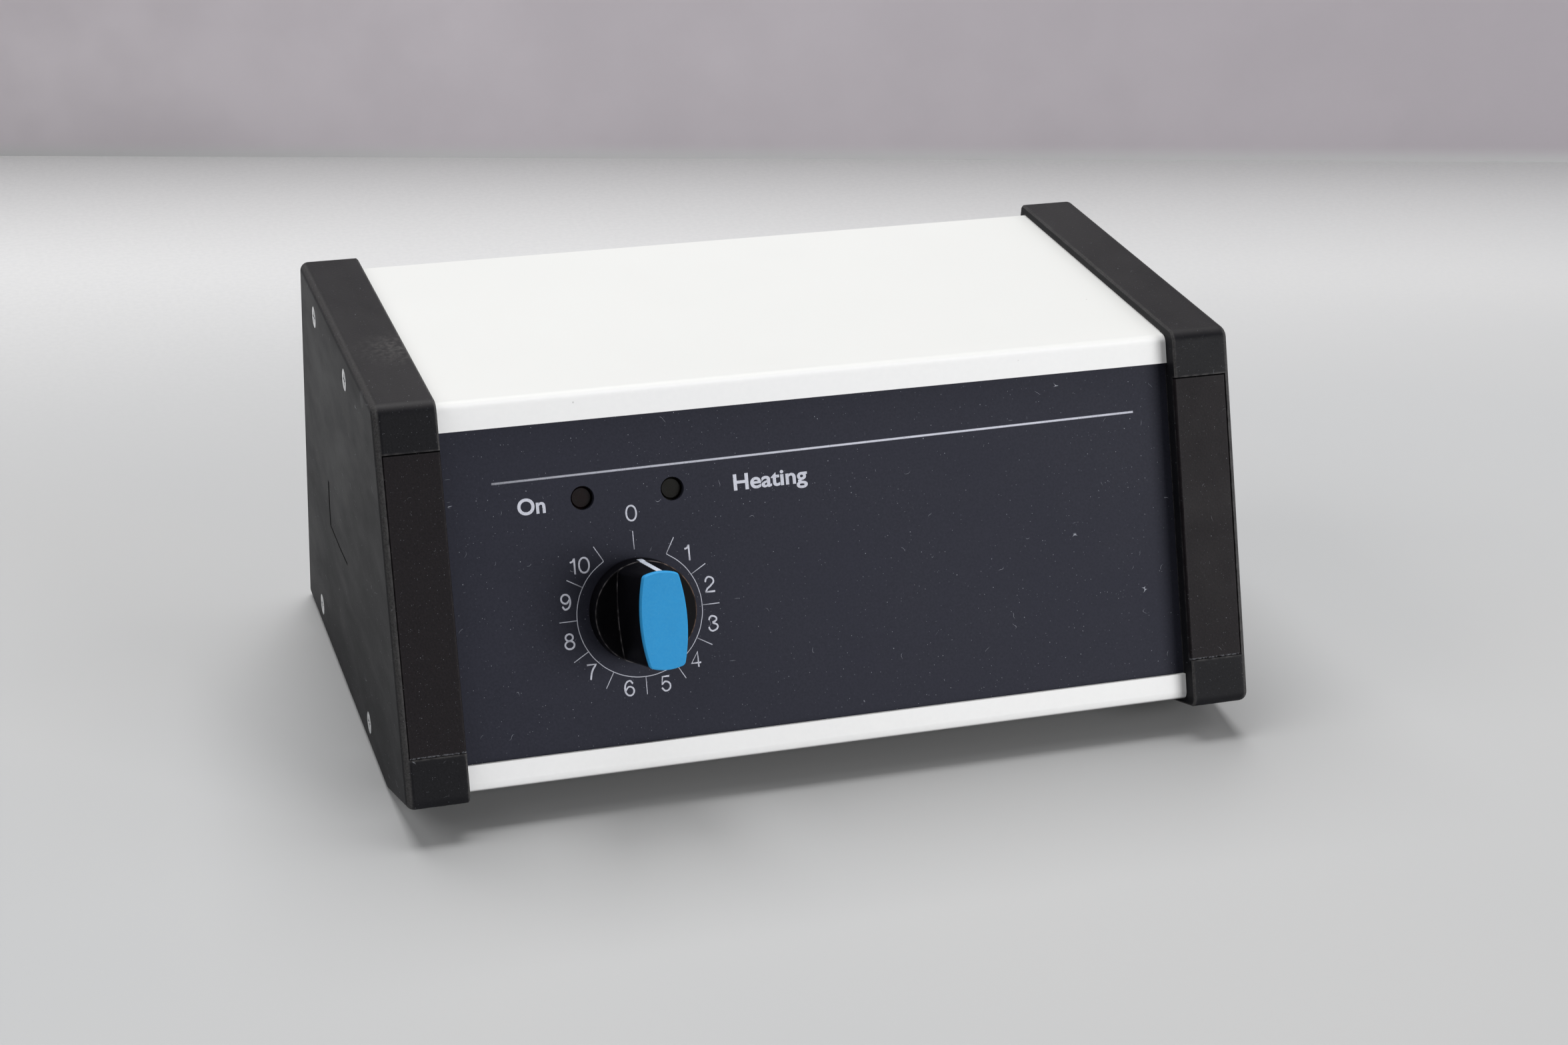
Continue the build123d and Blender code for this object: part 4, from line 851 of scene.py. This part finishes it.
def draw_word(name, text, left, baseline, width):
    """A bold word, its left end and baseline placed and its width set."""
    word = bpy.data.curves.new(name, "FONT")
    word.body = text
    word.size = 1.0
    word.offset = LETTER_BOLDNESS
    word.extrude = LETTER_THICKNESS
    bm = mesh_from_curve(word)
    low = Vector((min(v.co.x for v in bm.verts), 0, 0))
    right = max(v.co.x for v in bm.verts)
    top = max(v.co.y for v in bm.verts)
    size = (width / (right - low.x), CAPITAL_HEIGHT / top, INK_HEIGHT / LETTER_THICKNESS)
    bmesh.ops.translate(bm, vec=-low, verts=bm.verts)
    bmesh.ops.scale(bm, vec=size, verts=bm.verts)
    bmesh.ops.translate(bm, vec=(left, baseline, 0), verts=bm.verts)
    keep_piece(name, bm, print_frame(), ink)


draw_dial_ring()
draw_dial_figures()
draw_head_line()
draw_word("word_on_print", "On", left=-30.0, baseline=29.3, width=7.4)
draw_word("word_heating_print", "Heating", left=28.5, baseline=29.35, width=20.5)

# ------------------------------------------------------------------ open seam in the left cheek
# millimetres towards the back and up
SEAM_HEIGHT = 0.03
SEAM_BEND = (75.3, 43.2, 0)
UPRIGHT_SEAM = [(76.2, 56.6, 0), (76.0, 50.0, 0), SEAM_BEND]
UPRIGHT_SEAM_WIDTH = 2.0
LEVEL_SEAM = [SEAM_BEND, (60.0, 43.0, 0), (48.6, 43.4, 0)]
LEVEL_SEAM_WIDTH = 0.8


def groove_finish():
    """Dark open seam of a snapped-in blank."""
    finish = Finish("seam_dark", IOR=1.4, Specular_IOR_Level=0.1)
    tree = finish.tree
    grit = noise(tree, finish.place, 1500.0, detail=3.0)
    finish.drive("Base Color", tint(tree, grit, srgb(4, 4, 5), srgb(16, 16, 18)))
    finish.rough(grit, 0.8, 0.95)
    finish.relief(grit, 0.00003, 0.4)
    return finish.material


def draw_cheek_seam(name, stroke, points, material):
    """One leg of the short open seam in the left cheek's outer face."""
    pen = pen_curve(stroke)
    add_stroke(pen, points)
    bm = mesh_from_curve(pen)
    flatten_ink(bm, SEAM_HEIGHT)
    place = frame_of((CHEEK_FACE_X, CHEEK_MARKS_Y, 0), BACKWARD, UPWARD, LEFTWARD)
    keep_piece(name, bm, place, material)


seam_dark = groove_finish()
draw_cheek_seam("cheek_seam", UPRIGHT_SEAM_WIDTH, UPRIGHT_SEAM, seam_dark)
draw_cheek_seam("cheek_seam_low", LEVEL_SEAM_WIDTH, LEVEL_SEAM, seam_dark)

# ------------------------------------------------------------------ floor and backdrop
# metres
FLOOR_HALF_SIZE = 3.0
BACKDROP_LEFT = Vector((-0.176, 0.531, 0))
BACKDROP_RIGHT = Vector((0.487, 0.3695, 0))
BACKDROP_MIDDLE = 0.3
BACKDROP_HALF_WIDTH = 2.5
BACKDROP_HALF_HEIGHT = 0.1


def floor_finish():
    """Pale grey bench top, with painted light making it a little lighter towards the back."""
    finish = Finish("bench_grey", IOR=1.45, Specular_IOR_Level=0.2)
    tree = finish.tree
    cloud = noise(tree, finish.place, 3.0, detail=3.0)
    fine = noise(tree, finish.place, 500.0, detail=2.0)
    depth = parts_of(tree, finish.place)["Y"]
    body = tint(tree, fade(tree, cloud, 0.3, 0.7), srgb(187, 188, 189), srgb(190, 190, 190))
    # painted light: the bench is made lighter towards the back
    body = tint(tree, fade(tree, depth, 0.12, 0.45), body, srgb(211, 211, 211))
    body = tint(tree, fade(tree, fine, 0.3, 0.7, 0.0, 0.2), body, srgb(188, 189, 190))
    finish.drive("Base Color", body)
    finish.rough(cloud, 0.55, 0.65)
    finish.relief(fine, 0.00002, 0.2)
    return finish.material


def backdrop_finish():
    """Mottled mauve-grey cloth, with painted shade making it darker towards its right, fading into the
    bench at its foot.
    """
    finish = Finish("backdrop_grey", Roughness=0.9, IOR=1.4, Specular_IOR_Level=0.1)
    tree = finish.tree
    blotch = noise(tree, finish.place, 14.0, detail=3.0, roughness=0.6)
    slow = noise(tree, finish.place, 3.5, detail=1.0)
    place = parts_of(tree, finish.place)
    body = tint(tree, fade(tree, blotch, 0.3, 0.7), srgb(196, 190, 195), srgb(208, 202, 207))
    body = tint(tree, fade(tree, slow, 0.35, 0.65, 0.0, 0.5), body, srgb(201, 195, 201))
    # painted shade: the cloth is made darker towards its right
    body = tint(tree, fade(tree, place["X"], -0.35, 0.55, 0.0, 0.8), body, srgb(175, 169, 175))
    body = tint(tree, fade(tree, place["Z"], -0.0005, 0.008, 1.0, 0.0), body, srgb(197, 197, 198))
    finish.drive("Base Color", body)
    return finish.material


def flat_sheet(half_size):
    """A level square, centred on the origin."""
    bm = bmesh.new()
    bmesh.ops.create_grid(bm, x_segments=1, y_segments=1, size=half_size)
    return bm


def make_floor():
    """Bench top that the controller stands on."""
    floor = object_of("bench_top", flat_sheet(FLOOR_HALF_SIZE), floor_finish())


def make_backdrop():
    """Upright cloth behind the bench, a little askew to it."""
    bm = flat_sheet(1.0)
    run = (BACKDROP_RIGHT - BACKDROP_LEFT).normalized()
    upright = Matrix((run, UPWARD, run.cross(UPWARD))).transposed().to_4x4()
    middle = BACKDROP_LEFT + BACKDROP_MIDDLE * run
    bmesh.ops.scale(bm, vec=(BACKDROP_HALF_WIDTH, BACKDROP_HALF_HEIGHT, 1), verts=bm.verts)
    bmesh.ops.translate(bm, vec=(0, BACKDROP_HALF_HEIGHT, 0), verts=bm.verts)
    bmesh.ops.transform(bm, matrix=Matrix.Translation(middle) @ upright, verts=bm.verts)
    cloth = object_of("backdrop", bm, backdrop_finish())


make_floor()
make_backdrop()


# ------------------------------------------------------------------ light
def softbox(name, bearing, elevation, distance, size, power):
    """Square lamp facing the bench; its bearing runs from the front round to the right."""
    lamp = bpy.data.lights.new(name, "AREA")
    lamp.shape = "SQUARE"
    lamp.size = size
    lamp.energy = power
    holder = bpy.data.objects.new(name, lamp)
    bpy.context.scene.collection.objects.link(holder)
    across, rise = radians(bearing), radians(elevation)
    away = Vector((sin(across) * cos(rise), -cos(across) * cos(rise), sin(rise)))
    holder.location = distance * away
    holder.rotation_euler = (-away).to_track_quat("-Z", "Y").to_euler()


softbox("back_top_softbox", bearing=180, elevation=68, distance=2.6, size=1.9, power=70.0)
softbox("front_softbox", bearing=34, elevation=12, distance=2.6, size=1.4, power=49.0)
softbox("fill_softbox", bearing=-48, elevation=36, distance=2.2, size=1.0, power=3.0)
softbox("right_softbox", bearing=90, elevation=42, distance=1.8, size=1.0, power=3.0)
softbox("left_softbox", bearing=-93, elevation=42, distance=1.8, size=1.0, power=6.0)

world = bpy.data.worlds.new("studio")
world.use_nodes = True
sky = world.node_tree.nodes["Background"].inputs
sky["Color"].default_value = (0.98, 0.99, 1.0, 1.0)
sky["Strength"].default_value = 0.03
bpy.context.scene.world = world

# ------------------------------------------------------------------ camera
CAMERA_PLACE = Vector((-0.2380053, -0.7354091, 0.4032274))
CAMERA_LOOK = Vector((0.28455032, 0.86199258, -0.41952342)).normalized()
CAMERA_ROLL = radians(1.643)
SENSOR_WIDTH = 36.0
FOCAL_LENGTH = 68.895

camera = bpy.data.objects.new("camera", bpy.data.cameras.new("camera"))
bpy.context.scene.collection.objects.link(camera)
camera.data.sensor_fit = "HORIZONTAL"
camera.data.sensor_width = SENSOR_WIDTH
camera.data.lens = FOCAL_LENGTH
camera.data.clip_start = 0.01
camera.data.clip_end = 20.0
level = CAMERA_LOOK.cross(UPWARD).normalized()
over = level.cross(CAMERA_LOOK)
right = cos(CAMERA_ROLL) * level + sin(CAMERA_ROLL) * over
above = right.cross(CAMERA_LOOK)
turn = Matrix((right, above, -CAMERA_LOOK)).transposed().to_4x4()
camera.matrix_world = Matrix.Translation(CAMERA_PLACE) @ turn
bpy.context.scene.camera = camera

bpy.context.scene.view_settings.view_transform = "Standard"


bpy.context.view_layer.update()
